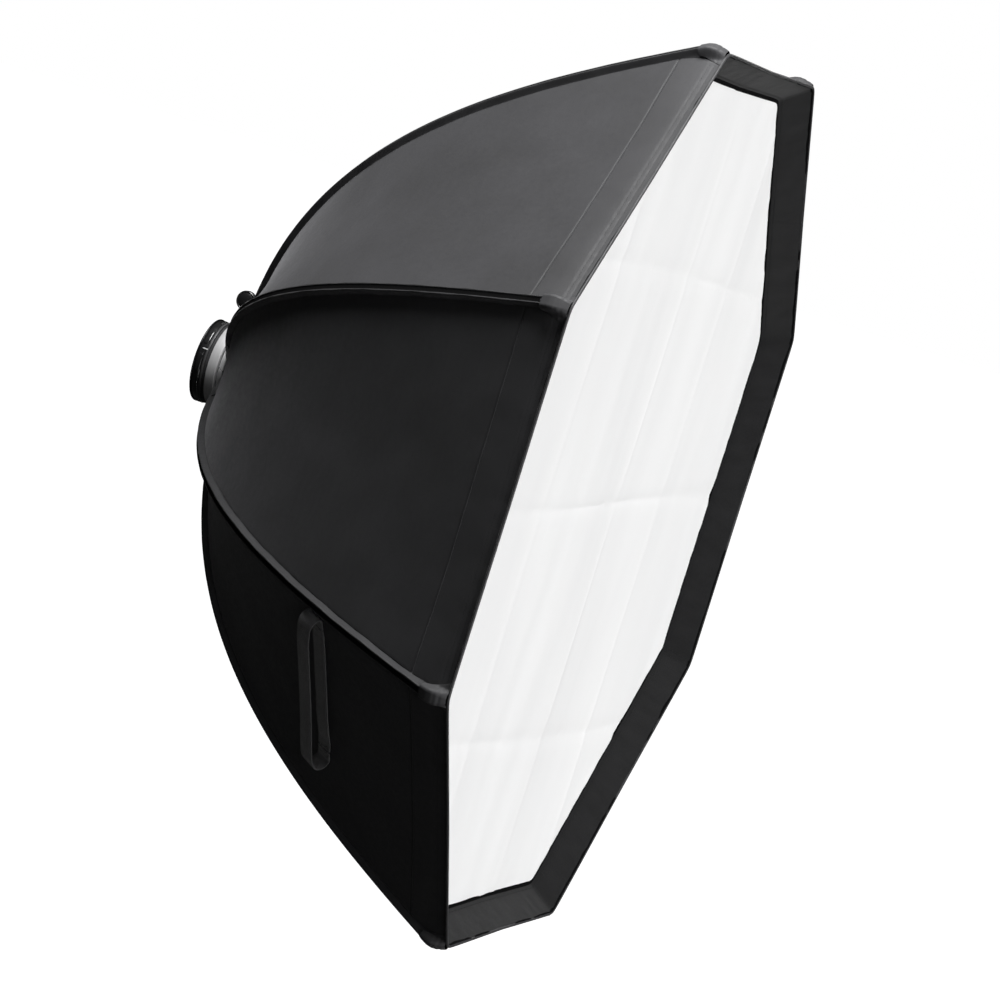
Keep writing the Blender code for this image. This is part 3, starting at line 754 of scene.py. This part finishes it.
def make_sleeve(k):
    """Sewn channel over rod k: two piped edges, with painted shade on the groove between them."""
    length = np.concatenate((np.linspace(0.008, 0.05, 12), np.linspace(0.06, COVER_LENGTH - SLEEVE_END, 70)))
    half = np.array(RIDGE)
    section = np.concatenate((half[:0:-1] * (-1, 1), half))
    across, height = section[None, :, 0], section[None, :, 1] + CLOTH_DROP
    radius, y = under_rib(length[:, None])
    slope = rib_slope(length)
    wobble = 0.0003 * np.sin(length * 61) + 0.00025 * np.sin(length * 143 + k)
    z = across + wobble[:, None] * (np.abs(across) > 0.004)
    points = stacked(radius - slope[:, 1:] * height, y + slope[:, :1] * height, z) @ rib_frame(k).T
    uv = stacked(reach_along(section)[None, :], length[:, None])
    sleeve = cloth_object(f"rod_sleeve_{k}", points, uv, 0.0007, NYLON, BACKING_AND_PAINTED_SHADE, rib_frame(k)[:, 0])
    from_middle = np.tile(np.abs((section[1:, 0] + section[:-1, 0]) / 2), len(length) - 1)
    paint_faces(sleeve, TAPE, np.nonzero((from_middle >= GROOVE_EDGE) & (from_middle < BEAD_EDGE))[0])
    # painted shade: the groove faces take the near-black cloth where the channel lies in shadow
    paint_faces(sleeve, BACKING_AND_PAINTED_SHADE, np.nonzero(from_middle < GROOVE_EDGE)[0])
    return place(sleeve, f"rib_{k}")


def make_pocket(k):
    """Three-cornered pocket that holds the rod's tip at the corner of the rim."""
    rows = np.linspace(0, 1, 26)[:, None]
    columns = np.linspace(-1, 1, 41)[None, :]
    length = COVER_LENGTH - POCKET_LENGTH * (1 - rows) - 0.0012
    distance = columns * (POCKET_START + POCKET_FLARE * rows ** 1.3)
    share = distance / (under_rib(length)[0] * sin(HALF))
    taper = 1 - 0.62 * np.clip((rows - 0.45) / 0.55, 0, 1) ** 1.5
    bulge = POCKET_BULGE * taper * np.exp(-((distance / (0.0086 + 0.002 * rows)) ** 4))
    edge = np.minimum(1, (1 - np.abs(columns)) * 9)
    raised = 0.0006 + 0.0005 * edge + np.maximum(bulge - cover_raise(length), 0)
    points = cover_point(k, length, share, raised, 0.0)
    uv = stacked(distance, length)
    return rib_sheet(k, "tip_pocket", points, uv, 0.0008, POCKET, BACKING_AND_PAINTED_SHADE, trim=0)


# ---------------------------------------------------------------- return lip
LIP_OUTWARD = (-0.72, -0.69, 0.0)
LIP_SEAMS = (0.10, 0.90)     # shares of the way from the rim to the diffuser
CORNER_SEAMS = (-0.018, 0.018)


def lip_line(a):
    """(radius, y) at a share of the way from the rim to the diffuser, and the lip's bow there."""
    bow = LIP_BOW * np.sin(pi * a)
    return RIM_RADIUS + (LIP_RADIUS - RIM_RADIUS) * a, -BOX_DEPTH + LIP_RECESS * a, bow


def make_lip(k):
    """Return lip of loop cloth from the rim back and inward to the diffuser."""
    shares = shares_across(65)
    a = np.linspace(0, 1, 22)[:, None]
    radius, y, bow = lip_line(a)
    radius, y = radius - 0.0002 * (1 - a), y - 0.0003 + 0.0007 * a
    points = eight_sided(radius + bow, y - bow, shares) @ rib_frame(k).T
    wrinkles = 0.0011 * cloth_noise(points + points[..., [1, 2, 0]] * 0.6, 42.0, 7.0)
    wrinkles = wrinkles + 0.0009 * cloth_noise(points, 16.0, 2.0)
    wrinkles = wrinkles * np.sin(pi * a) * np.clip(np.abs(shares) * 6, 0.3, 1)
    out = rib_frame(k) @ LIP_OUTWARD
    uv = stacked(radius * shares * sin(HALF), a * 0.05)
    points = points + wrinkles[..., None] * out
    return rib_sheet(k, "return_lip", points, uv, 0.0012, LOOP, BACKING_AND_PAINTED_SHADE, outward=out)


def make_rim_trim(k):
    """Piping along the front edge, and a near-black tube of painted shade between the lip and the diffuser.
    """
    shares = np.linspace(-1, 1, 61)
    forward = np.tile((0.0, -1.0, 0.0), (len(shares), 1))
    trims = []
    for name, radius, y, width, height, material in (
        ("rim_piping", RIM_RADIUS + 0.0002, -BOX_DEPTH + 0.0008, 0.0019, 0.0019, TAPE),
        # painted shade: a near-black tube where the gap between the lip and the diffuser lies in shadow
        ("lip_edge_painted_shade", LIP_RADIUS - 0.0016, -BOX_DEPTH + LIP_RECESS + 0.0006, 0.0034, 0.0016, BACKING_AND_PAINTED_SHADE),
    ):
        path = eight_sided(radius, y, shares) @ rib_frame(k).T
        trims.append(tube_object(f"{name}_{k}", path, oval(width, height), forward, material))
        fold_with(trims[-1], k)
    return trims


def make_lip_stitches(k):
    """Rows of stitches on the lip: one beside the piping, one beside the diffuser, two at the corner."""
    lines = []
    for a in LIP_SEAMS:
        radius, y, bow = lip_line(a)
        lines.append(eight_sided(radius + bow, y - bow - 0.0002, np.linspace(-1, 1, 90)))
    for side in CORNER_SEAMS:
        radius, y, bow = lip_line(np.linspace(0.12, 0.88, 20))
        lines.append(stacked(radius + bow - 0.0004, y - bow - 0.0003, (radius + bow) * side * sin(HALF)))
    out = rib_frame(k) @ LIP_OUTWARD
    runs = [(line @ rib_frame(k).T, np.tile(out, (len(line), 1))) for line in lines]
    return fold_with(stitches_object(f"lip_stitches_{k}", runs), k)


# ---------------------------------------------------------------- diffuser
CREASES = (                  # axis, places on it, sway along the crease, (height, width)
    (2, (-0.335, -0.012, 0.300), (0.012, 3.1, 7), (-0.0026, 0.007)),
    (0, (-0.29, 0.05, 0.27), (0.010, 2.7, 5), (0.0012, 0.008)),
)
WEDGE_COLUMNS = 24


def diffuser_relief(points):
    """How far the white cloth stands out of its plane: storage creases, drapes and edge ripples."""
    x, z = points[..., 0], points[..., 2]
    reach = np.maximum.reduce([np.abs(x * cos(a) + z * sin(a)) for a in (0, pi / 4, pi / 2, 3 * pi / 4)])
    edge = LIP_RADIUS * cos(HALF) - reach
    relief = 0.0030 * cloth_noise(points * np.array((1.0, 0, 0.35)), 4.2, 1.0)
    relief = relief + 0.0012 * cloth_noise(points * np.array((1.0, 0, 0.22)), 15.0, 4.0)
    for axis, places, (sway, turns, phase), (height, width) in CREASES:
        for middle in places:
            bend = points[..., axis] - middle - sway * np.sin(turns * points[..., 2 - axis] + phase * middle)
            relief = relief + height * np.exp(-np.abs(bend) / width)
    ripples = cloth_noise(points, 46.0, 9.0) + 0.6 * cloth_noise(points, 90.0, 6.0)
    relief = relief + 0.0016 * ripples * np.exp(-np.clip(edge, 0, 1) / 0.020)
    return relief * np.clip(edge / 0.006, 0.15, 1)


def make_diffuser_part(k, name, inner, outer, rows, shares):
    """Part of a sector of the diffuser between two corner radii."""
    radius = np.linspace(inner, outer, rows)[:, None]
    points = eight_sided(radius, DIFFUSER_Y, shares, 0.0) @ rib_frame(k).T
    points[..., 1] = DIFFUSER_Y - 0.0004 - diffuser_relief(points)
    return cloth_object(f"{name}_{k}", points, points[..., [0, 2]], 0.0006, WHITE, WHITE, (0, -1.0, 0), 1)


def make_diffuser(k):
    """Rim strip that folds with rib k, and the two wedges inside it that stay with the hub."""
    rim = make_diffuser_part(k, "diffuser_rim", DIFFUSER_SPLIT, LIP_RADIUS - 0.0012, 16, shares_across(49))
    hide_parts(f"diffuser_sector_{k}")
    fold_with(rim, k)
    wedges = []
    for name, side in (("upper", 1), ("lower", -1)):
        shares = side * np.arange(-1, WEDGE_COLUMNS + 2)[None, :] / WEDGE_COLUMNS
        wedge = make_diffuser_part(k, f"diffuser_{name}_wedge", 0.0004, DIFFUSER_SPLIT, 74, shares)
        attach(wedge, "hub")
        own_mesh(wedge)
        wedges.append(wedge)
    return rim, wedges


# ---------------------------------------------------------------- collar cloth at the hub
COLLAR_LENGTH = 0.030        # how far it reaches over the cover
COLLAR_RADIUS = 0.0534       # at the hub
COLLAR_Y = -0.0434
COLLAR_SINK = 0.0075         # between the rods
BEND_START, BEND_END = 0.058, 0.084   # two radii out along the rib from the hub


def make_collar_cloth(k):
    """Gathered collar from the hub over the rod hinges to the cover."""
    a = np.linspace(0, 1, 26)[:, None]
    share = shares_across(49)
    free = ease((np.abs(share) - 0.34) / 0.40)
    radius, angle = COLLAR_RADIUS - 0.0034 * free, share * HALF
    start = stacked(radius * np.cos(angle), COLLAR_Y - 0.0040 * free, radius * np.sin(angle))
    end = cover_point(k, COLLAR_LENGTH, share, 0.0010) @ rib_frame(k)
    points = start + (end - start) * a[..., None]
    points[..., 1] += (end[..., 1] - start[..., 1]) * (a ** 1.5 - a) - COLLAR_SINK * np.sin(pi * a) * free
    over_rod = np.exp(-((points[..., 2] / 0.0075) ** 4)) * np.clip(a * 8, 0, 1)
    rod_y = np.interp(points[..., 0], *rib_line(np.linspace(0, 0.2, 60)).T)
    points[..., 1] += np.maximum(rod_y + CLOTH_DROP - points[..., 1], 0) * over_rod
    points = points @ rib_frame(k).T
    gathers = cloth_noise(points * np.array((1, 0.3, 1)), 130.0, 8.0)
    points[..., 1] += 0.0007 * gathers * np.sin(pi * a)
    uv = stacked(share * 0.03, COLLAR_LENGTH * a)
    collar = cloth_object(f"collar_cloth_{k}", points, uv, 0.0008, NYLON, NYLON, (0, 1.0, 0), 1)
    start, end = (tuple(rib_frame(k)[:, 0] * r + (0, HINGE_Y, 0)) for r in (BEND_START, BEND_END))
    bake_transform(collar)
    return collar


# ---------------------------------------------------------------- carrying handle
HANDLE_PLACE = 0.765         # along the rib's curve
HANDLE_SHIFT = 0.040         # from the middle of the panel towards rib 6
STRAP_WIDTH = 0.025
STRAP_HALF = 0.0011          # half of the webbing's thickness
OUTER_LOOP = (               # centre line: distance towards rib 5, height over the panel
    (-0.1290, 0.0011), (-0.1400, 0.0011), (-0.1465, 0.0025), (-0.1503, 0.0070), (-0.1508, 0.0135),
    (-0.1475, 0.0200), (-0.1380, 0.0245), (-0.1150, 0.0265), (-0.0600, 0.0262), (0.0000, 0.0258),
    (0.0500, 0.0262), (0.0950, 0.0272), (0.1180, 0.0270), (0.1320, 0.0242), (0.1402, 0.0185),
    (0.1425, 0.0120), (0.1418, 0.0062), (0.1380, 0.0025), (0.1320, 0.0011), (0.1210, 0.0011),
)
BASE_STRAP = (
    (-0.1270, 0.0011), (-0.1170, 0.0011), (-0.1050, 0.0026), (-0.0500, 0.0036), (0.0000, 0.0040),
    (0.0500, 0.0040), (0.0900, 0.0028), (0.1060, 0.0013), (0.1100, 0.0011), (0.1180, 0.0011),
)
FEET = (                     # name, rib, and the places of its box stitches towards rib 6
    ("top", 6, (0.1345, 0.1220)),
    ("bottom", 5, (-0.1260, -0.1140)),
)
BOX_WIDTH, BOX_LENGTH = 0.0092, 0.0200   # of a box stitch


def handle_frame():
    """Handle's seat on the flat panel, along the strap to rib 6, out of the panel, and across."""
    slope = unit(rib_line(HANDLE_PLACE + 0.001) - rib_line(HANDLE_PLACE - 0.001))
    angle = (rib_angle(5) + rib_angle(6)) / 2
    outward = np.array((cos(angle), 0, sin(angle)))
    across = unit(slope[0] * cos(HALF) * outward + (0, slope[1], 0))
    strap = np.array((sin(angle), 0, -cos(angle)))
    normal = np.cross(strap, across)
    normal *= np.sign(normal @ outward)
    radius, y = rib_line(HANDLE_PLACE) + CLOTH_DROP * np.array((slope[1], -slope[0]))
    return radius * cos(HALF) * outward + (0, y, 0), strap, normal, across


SEAT, STRAP, PANEL_OUT, ACROSS = handle_frame()
SEAT_LENGTH = float(np.interp(-SEAT[1], -PROFILE[:, 1], PROFILE_LENGTH))


def on_cover(s, v, raised=0.0):
    """Point on the cover beside the handle: s towards rib 6 and v towards the front rim."""
    s, v = np.broadcast_arrays(np.asarray(s, float), np.asarray(v, float))
    length = SEAT_LENGTH + v
    width = under_rib(length)[0] * sin(HALF)
    upper = cover_point(6, length, 1 - s / width, raised)
    lower = cover_point(5, length, -1 - s / width, raised)
    return np.where((s >= 0)[..., None], upper, lower)


def strap_path(line):
    """Rounded centre line of a strap in the row frame, its feet on the cover, and s along it."""
    points = np.array(line)
    reach = reach_along(points)
    even = np.arange(0, reach[-1], 0.0011)
    kernel = np.hanning(13) / np.hanning(13).sum()
    padded = (
        np.pad(np.interp(even, reach, points[:, i]), 6, "reflect", reflect_type="odd") for i in (0, 1)
    )
    x, height = (np.convolve(values, kernel, "valid") for values in padded)
    s = HANDLE_SHIFT - x
    cover = (on_cover(s, 0.0) - SEAT) @ PANEL_OUT
    height = height + cover * (1 - ease((height - 0.0013) / 0.008))
    height = np.maximum(height, cover + STRAP_HALF + 0.0009)
    return SEAT + s[:, None] * STRAP + height[:, None] * PANEL_OUT, s


def make_strap(name, line, node):
    """One webbing strap in two halves that meet over the middle of the panel."""
    path, s = strap_path(line)
    facing = np.cross(ACROSS, unit(np.gradient(path, axis=0)))
    facing *= np.sign(facing[0] @ PANEL_OUT)
    w, t, corner = STRAP_WIDTH / 2, STRAP_HALF, 0.0008
    section = [(-w, -t * 0.6), (-w + corner, -t), (w - corner, -t), (w, -t * 0.6), (w, t * 0.6)]
    section += [(w - corner, t), (w * 0.5, t * 1.12), (0, t * 1.15), (-w * 0.5, t * 1.12)]
    section += [(-w + corner, t), (-w, t * 0.6)]
    upper, lower = np.nonzero(s >= 0)[0], np.nonzero(s < 0)[0]
    upper = np.append(upper, upper[-1] + 1)
    for k, part, places in ((6, "upper", upper), (5, "lower", lower)):
        half = tube_object(f"{name}_{part}", path[places], section, facing[places], WEBBING)
        fold_with(half, k)
        if part == "upper":
            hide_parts(node)


def make_handle_stitches(name, k, feet):
    """Box stitches through each strap's foot."""
    runs = []
    a, b = BOX_WIDTH / 2, BOX_LENGTH / 2
    corners = ((-a, -b), (a, -b), (a, b), (-a, b), (-a, -b), (a, b))
    step = np.linspace(0, 1, 12)
    for foot in feet:
        middle = HANDLE_SHIFT + foot
        for (s0, v0), (s1, v1) in zip(corners[:-1], corners[1:]):
            line = on_cover(middle + s0 + step * (s1 - s0), v0 + step * (v1 - v0), 2 * STRAP_HALF + 0.0011)
            runs.append((line, np.tile(PANEL_OUT, (len(step), 1))))
    sewn = stitches_object(f"handle_stitches_{name}", runs, 0.0036, 0.0026)
    fold_with(sewn, k)


def make_handle():
    make_strap("carry_handle_strap", OUTER_LOOP, "carry_handle")
    make_strap("base_strap", BASE_STRAP, "handle_base_strap")
    for name, k, feet in FEET:
        make_handle_stitches(name, k, feet)


# ---------------------------------------------------------------- hub
GRIP_RADIUS = 0.0572         # under the locking collar's pads and marks
PAD_ANGLES = (142, 182, 262, 302, 22, 62)
TICKS_START, TICK_STEP = 212, 4.2    # degrees
SLIT_RADIUS = 0.0528
SLIT = 0.0017 / SLIT_RADIUS  # angle that the split ring leaves open
SLIT_SLANT = -tan(radians(32)) / SLIT_RADIUS
RINGS = (                    # name, node, body, slot, materials, edges in the second one, (radius, y)
    ("rear_ring", "rear_ring", "mount", "black_metal", (BLACK_METAL,), (), (
        (0.0578, 0.0), (0.0583, -0.0003), (0.0585, -0.0008), (0.0585, -0.0017), (0.0582, -0.0021),
        (0.0576, -0.0022), (0.0500, -0.0024), (0.0500, -0.0347), (0.0388, -0.0347), (0.0385, -0.0344),
        (0.0385, -0.0123), (0.0388, -0.0120), (0.0472, -0.0120), (0.0475, -0.0117), (0.0475, -0.0004),
        (0.0479, 0.0),
    )),
    ("grip_ring", "grip_ring", "collar", "gloss_plastic", (GLOSS, BAND_METAL_AND_PAINTED_SHADE), range(7, 13), (
        (0.0503, -0.0026), (0.0564, -0.0026), (0.0571, -0.0029), (0.0574, -0.0036), (0.0574, -0.0121),
        (0.0571, -0.0125), (0.0566, -0.0127), (0.0566, -0.0129), (0.0571, -0.0131), (0.0575, -0.0136),
        (0.0575, -0.0157), (0.0572, -0.0162), (0.0566, -0.0164), (0.0503, -0.0164),
    )),
    # the housing's neck, edges 0 to 4, takes the darker metal as painted shade in its recess
    ("housing", "hub_housing", "hub", "grey_metal", (GREY_METAL, BAND_METAL_AND_PAINTED_SHADE), range(5), (
        (0.0503, -0.0168), (0.0549, -0.0168), (0.0554, -0.0171), (0.0555, -0.0176), (0.0555, -0.0206),
        (0.0557, -0.0210), (0.0569, -0.0213), (0.0574, -0.0217), (0.0575, -0.0222), (0.0575, -0.0336),
        (0.0573, -0.0344), (0.0567, -0.0350), (0.0503, -0.0350),
    )),
    ("split_ring", "split_ring", "hub", "grey_metal", (GREY_METAL,), (), (
        (0.0503, -0.0364), (0.0522, -0.0364), (0.0527, -0.0367), (0.0528, -0.0371), (0.0528, -0.0424),
        (0.0526, -0.0429), (0.0521, -0.0430), (0.0503, -0.0430),
    )),
)


def finish_cad_nodes():
    """Materials of the CAD solids that are shown as they are."""
    finish = {"bayonet_plate": BRIGHT_METAL, "hub_plate": PLASTIC, "lever_pin": BRIGHT_METAL}
    for k in RIBS:
        finish.update({f"hinge_pin_{k}": BRIGHT_METAL, f"rib_socket_{k}": BRIGHT_METAL})
        finish.update({f"rib_rod_{k}": ROD, f"rib_cap_{k}": PLASTIC})
    for name, material in finish.items():
        for spot in frame["nodes"][name].material_slots:
            spot.material = material


def ring_place(angle, radius, y):
    return np.array((radius * cos(angle), y, radius * sin(angle)))


def grip_pad(name, centre, span, y_low, y_high, height, material=GLOSS, taper=0.3):
    """A raised pad with rounded ends that follows the locking collar, its angles in degrees."""
    a = np.linspace(-0.5, 0.5, 41)[:, None]
    v = np.linspace(-0.5, 0.5, 15)[None, :]
    centre, span = radians(centre), radians(span)
    shape = np.clip((0.5 - np.abs(a)) / taper, 0, 1) ** 0.5
    y = (y_low + y_high) / 2 + v * (y_high - y_low) * (0.55 + 0.45 * shape)
    crown = np.clip((0.5 - np.abs(v)) / 0.16, 0, 1) ** 0.5
    r = GRIP_RADIUS + height * np.minimum(crown, np.clip((0.5 - np.abs(a)) / 0.06, 0, 1) ** 0.5)
    points = stacked(r * np.cos(centre + a * span), y, r * np.sin(centre + a * span))
    uv = stacked(a * span * GRIP_RADIUS, y)
    pad = cloth_object(name, points, uv, 0.0012, material, material, ring_place(centre, 1, 0))
    place(pad, "collar")


def turned_ring(name, profile, materials, band, slit=False):
    """A finely turned ring, or one with a slanting slit. band lists the edges in the second material."""
    steps = 144
    profile = np.array(profile)
    rows = len(profile)
    angles = np.linspace(0, 2 * pi, steps + 1)[:-1, None] + np.zeros(rows)
    faces = (np.array(tube_faces(steps + 1, rows, False)) % (steps * rows)).tolist()
    if slit:
        angles = radians(183) + SLIT / 2 + np.linspace(0, 2 * pi - SLIT, steps + 1)[:, None]
        angles = angles + (profile[:, 1] - profile[:, 1].mean())[None, :] * SLIT_SLANT
        faces = tube_faces(steps + 1, rows)
    r, y = profile.T
    points = stacked(r * np.cos(angles), y, r * np.sin(angles)).reshape(-1, 3)
    mesh = new_mesh(name, points, faces, *materials)
    index = np.zeros(len(faces), np.int32)
    index[:steps * rows] = np.tile(np.isin(np.arange(rows), band), steps)
    mesh.polygons.foreach_set("material_index", index)
    return solid_object(name, mesh)


def make_rings():
    for name, node, body, slot, materials, band, profile in RINGS:
        ring = turned_ring(f"turned_{name}", profile, materials, band, name == "split_ring")
        place(ring, body, node)


def make_hub_details():
    """Raised grips, ticks and a mark on the locking collar, and the housing's screws."""
    for i, angle in enumerate(PAD_ANGLES):
        grip_pad(f"grip_pad_{i + 1}", angle, 27, -0.0123, -0.0040, 0.0013, taper=0.18)
    for i in range(15):
        angle = TICKS_START + TICK_STEP * (i % 5) + 120 * (i // 5)
        grip_pad(f"grip_tick_{i + 1}", angle, 1.5, -0.0120, -0.0048, 0.0008)
    grip_pad("index_mark", 162, 1.8, -0.0152, -0.0062, 0.0009, PALE_MARK)
    for i in range(3):
        angle = radians(127 + 120 * i)
        screw = cap_screw(f"clamp_screw_{i + 1}", ring_place(angle, 0.0571, -0.0285), angle)
        place(screw, "hub")


SCREW_PROFILE = (            # (radius, height), from the bottom of the socket to the rim
    (0.0, -0.0006), (0.0011, -0.0006), (0.0012, 0.0010), (0.0021, 0.0010), (0.0024, 0.0007),
    (0.0024, -0.001),
)
SOCKET_RADIUS = 0.0015


def cap_screw(name, seat, angle):
    """A small screw head with a hexagonal socket, facing outward at an angle round the hub."""
    turns = np.arange(24) * pi / 12
    hexagon = cos(pi / 6) / np.cos((turns + pi / 6) % (pi / 3) - pi / 6)
    rings = []
    for radius, height in SCREW_PROFILE:
        reach = radius * (hexagon if radius <= SOCKET_RADIUS else 1)
        rings.append(stacked(height, reach * np.cos(turns), reach * np.sin(turns)))
    faces = tube_faces(len(rings), len(turns))
    mesh = new_mesh(name, np.concatenate(rings), faces, BRIGHT_METAL)
    mesh.transform(Matrix.Translation(Vector(seat)) @ Matrix.Rotation(-angle, 4, "Y"))
    return solid_object(name, mesh)


def plate_object(name, outline, low, high, bevel, material):
    """A flat piece: an outline of (y, z) from low to high along X, with rounded edges."""
    bm = bmesh.new()
    base = bm.faces.new([bm.verts.new((low, y, z)) for y, z in outline])
    made = bmesh.ops.extrude_face_region(bm, geom=[base])["geom"]
    moved = [v for v in made if isinstance(v, bmesh.types.BMVert)]
    bmesh.ops.translate(bm, vec=(high - low, 0, 0), verts=moved)
    bmesh.ops.recalc_face_normals(bm, faces=bm.faces)
    caps = [f for f in bm.faces if abs(f.normal.x) > 0.9]
    edges = list({e for f in caps for e in f.edges})
    bmesh.ops.bevel(bm, geom=edges, offset=bevel, segments=3, profile=0.5, affect="EDGES")
    mesh = new_mesh(name, [], [], material)
    bm.to_mesh(mesh)
    bm.free()
    return solid_object(name, mesh, 45)


DISC_PROFILE = (             # half of the thumb disc: (share of its radius, half thickness)
    (0.0, 0.0068), (0.20, 0.0067), (0.42, 0.0063), (0.62, 0.0056), (0.74, 0.0049), (0.78, 0.0045),
    (0.82, 0.0045), (0.86, 0.0050), (0.92, 0.0051), (0.97, 0.0046), (0.995, 0.0036), (1.0, 0.0022),
    (0.985, 0.0008),
)
DISC_TURNS = 72
EAR_FOOT = 0.0555            # Z at which the ears stand on the housing


def half_round(pivot, radius, start, count):
    """Points (y, z) of half a circle round a pivot."""
    y, z = pivot
    return [(y + radius * cos(a), z + radius * sin(a)) for a in np.linspace(start, start + pi, count)]


def make_lever():
    """Ears on the housing, and between them the lever: an arm with a domed thumb disc."""
    _, y, z = JOINTS["release_press"]["pos_m"]
    for name, low, high in (("left", -0.0080, -0.0052), ("right", 0.0052, 0.0080)):
        outline = [(y + 0.0058, EAR_FOOT), *half_round((y, z), 0.0050, 0, 13), (y - 0.0058, EAR_FOOT)]
        ear = plate_object(f"lever_ear_{name}", outline, low, high, 0.0006, GREY_METAL)
        place(ear, "hub")
    low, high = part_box("release_lever")
    radius = (high.y - low.y) / 2
    middle = high.z - radius
    outline = half_round((y, z), 0.0046, pi, 15) + [
        (y + 0.0040, z + 0.008), (y + 0.0058, middle - 0.009), (y - 0.0058, middle - 0.009),
        (y - 0.0040, z + 0.008),
    ]
    place(plate_object("lever_arm", outline, -0.0040, 0.0040, 0.0007, GLOSS), "lever")
    profile = DISC_PROFILE + tuple((r, -x) for r, x in DISC_PROFILE[::-1])
    turns = 2 * pi * np.arange(DISC_TURNS) / DISC_TURNS
    disc_y, disc_z = radius * np.cos(turns), radius * np.sin(turns)
    rings = [stacked(x, y + r * disc_y, middle + r * disc_z) for r, x in profile]
    faces = tube_faces(len(rings), DISC_TURNS, False)
    disc = new_mesh("lever_disc", np.concatenate(rings), faces, GLOSS)
    bm = bmesh.new()
    bm.from_mesh(disc)
    bmesh.ops.remove_doubles(bm, verts=bm.verts, dist=0.00001)
    bm.to_mesh(disc)
    bm.free()
    place(solid_object("lever_disc", disc), "lever", "release_lever")


# ---------------------------------------------------------------- stage and light
def make_stage():
    """Pale floor, brightened by a little light of its own."""
    bpy.ops.mesh.primitive_circle_add(vertices=96, radius=60, fill_type="NGON", location=(0, 0, -1.55))
    floor = bpy.context.object
    floor.name = "floor"
    n = Nodes(
        "pale_floor", (0.80, 0.80, 0.80), 0.75, specular=0.1, emission_color=(1, 1, 1, 1),
        emission_strength=0.85,
    )
    n.tint(n.noise(n.position, 3.0), (0.79, 0.79, 0.79), (0.81, 0.81, 0.81))
    floor.data.materials.append(n.material)
    floor.visible_diffuse = False
    floor.visible_glossy = False


def turn_towards(obj, direction):
    obj.rotation_euler = Vector(direction).to_track_quat("Z", "Y").to_euler()


def make_sun(name, strength, spread, direction):
    lamp = bpy.data.lights.new(name, "SUN")
    lamp.energy = strength
    lamp.angle = radians(spread)
    turn_towards(new_object(name, lamp), direction)


def make_top_light():
    lamp = bpy.data.lights.new("top_light", "AREA")
    lamp.energy = 68.0
    lamp.size = 0.9
    panel = new_object("top_light", lamp)
    panel.location = (-0.72, -0.32, 1.88)
    turn_towards(panel, (-0.52, -0.02, 1.88))
    panel.visible_camera = False


def make_world():
    """A dim white surrounding that the camera sees as a white background."""
    world = bpy.data.worlds.new("studio")
    bpy.context.scene.world = world
    world.use_nodes = True
    tree = world.node_tree
    background = tree.nodes["Background"]
    rays = tree.nodes.new("ShaderNodeLightPath")
    mix = tree.nodes.new("ShaderNodeMix")
    mix.inputs[2].default_value = 0.020
    mix.inputs[3].default_value = 1.0
    tree.links.new(rays.outputs["Is Camera Ray"], mix.inputs[0])
    tree.links.new(mix.outputs[0], background.inputs["Strength"])
    background.inputs["Color"].default_value = (1, 1, 1, 1)


def make_lights():
    bpy.context.scene.view_settings.view_transform = "Standard"
    make_world()
    make_sun("front_light", 2.80, 35, (-0.35, -0.88, 0.34))
    make_sun("fill_light", 1.3, 60, (-0.70, -0.60, -0.30))
    make_top_light()


def make_sector(k):
    """All cloth that belongs to rib k."""
    gore = make_cover(k)
    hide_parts(f"canopy_gore_{k}")
    for layer, (name, start, end, keep) in enumerate(LININGS):
        lining = make_lining(k, name, start, end, layer)
    sewn_on = [make_cover_stitches(k), make_sleeve(k), make_pocket(k)]
    lip = make_lip(k)
    lip_trims = [*make_rim_trim(k), make_lip_stitches(k)]
    rim, wedges = make_diffuser(k)
    collar = make_collar_cloth(k)
    if k == 1:
        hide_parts("canopy_collar")


def main():
    finish_cad_nodes()
    for k in RIBS:
        make_sector(k)
    make_handle()
    make_hub_details()
    make_rings()
    make_lever()
    make_stage()
    make_lights()


main()
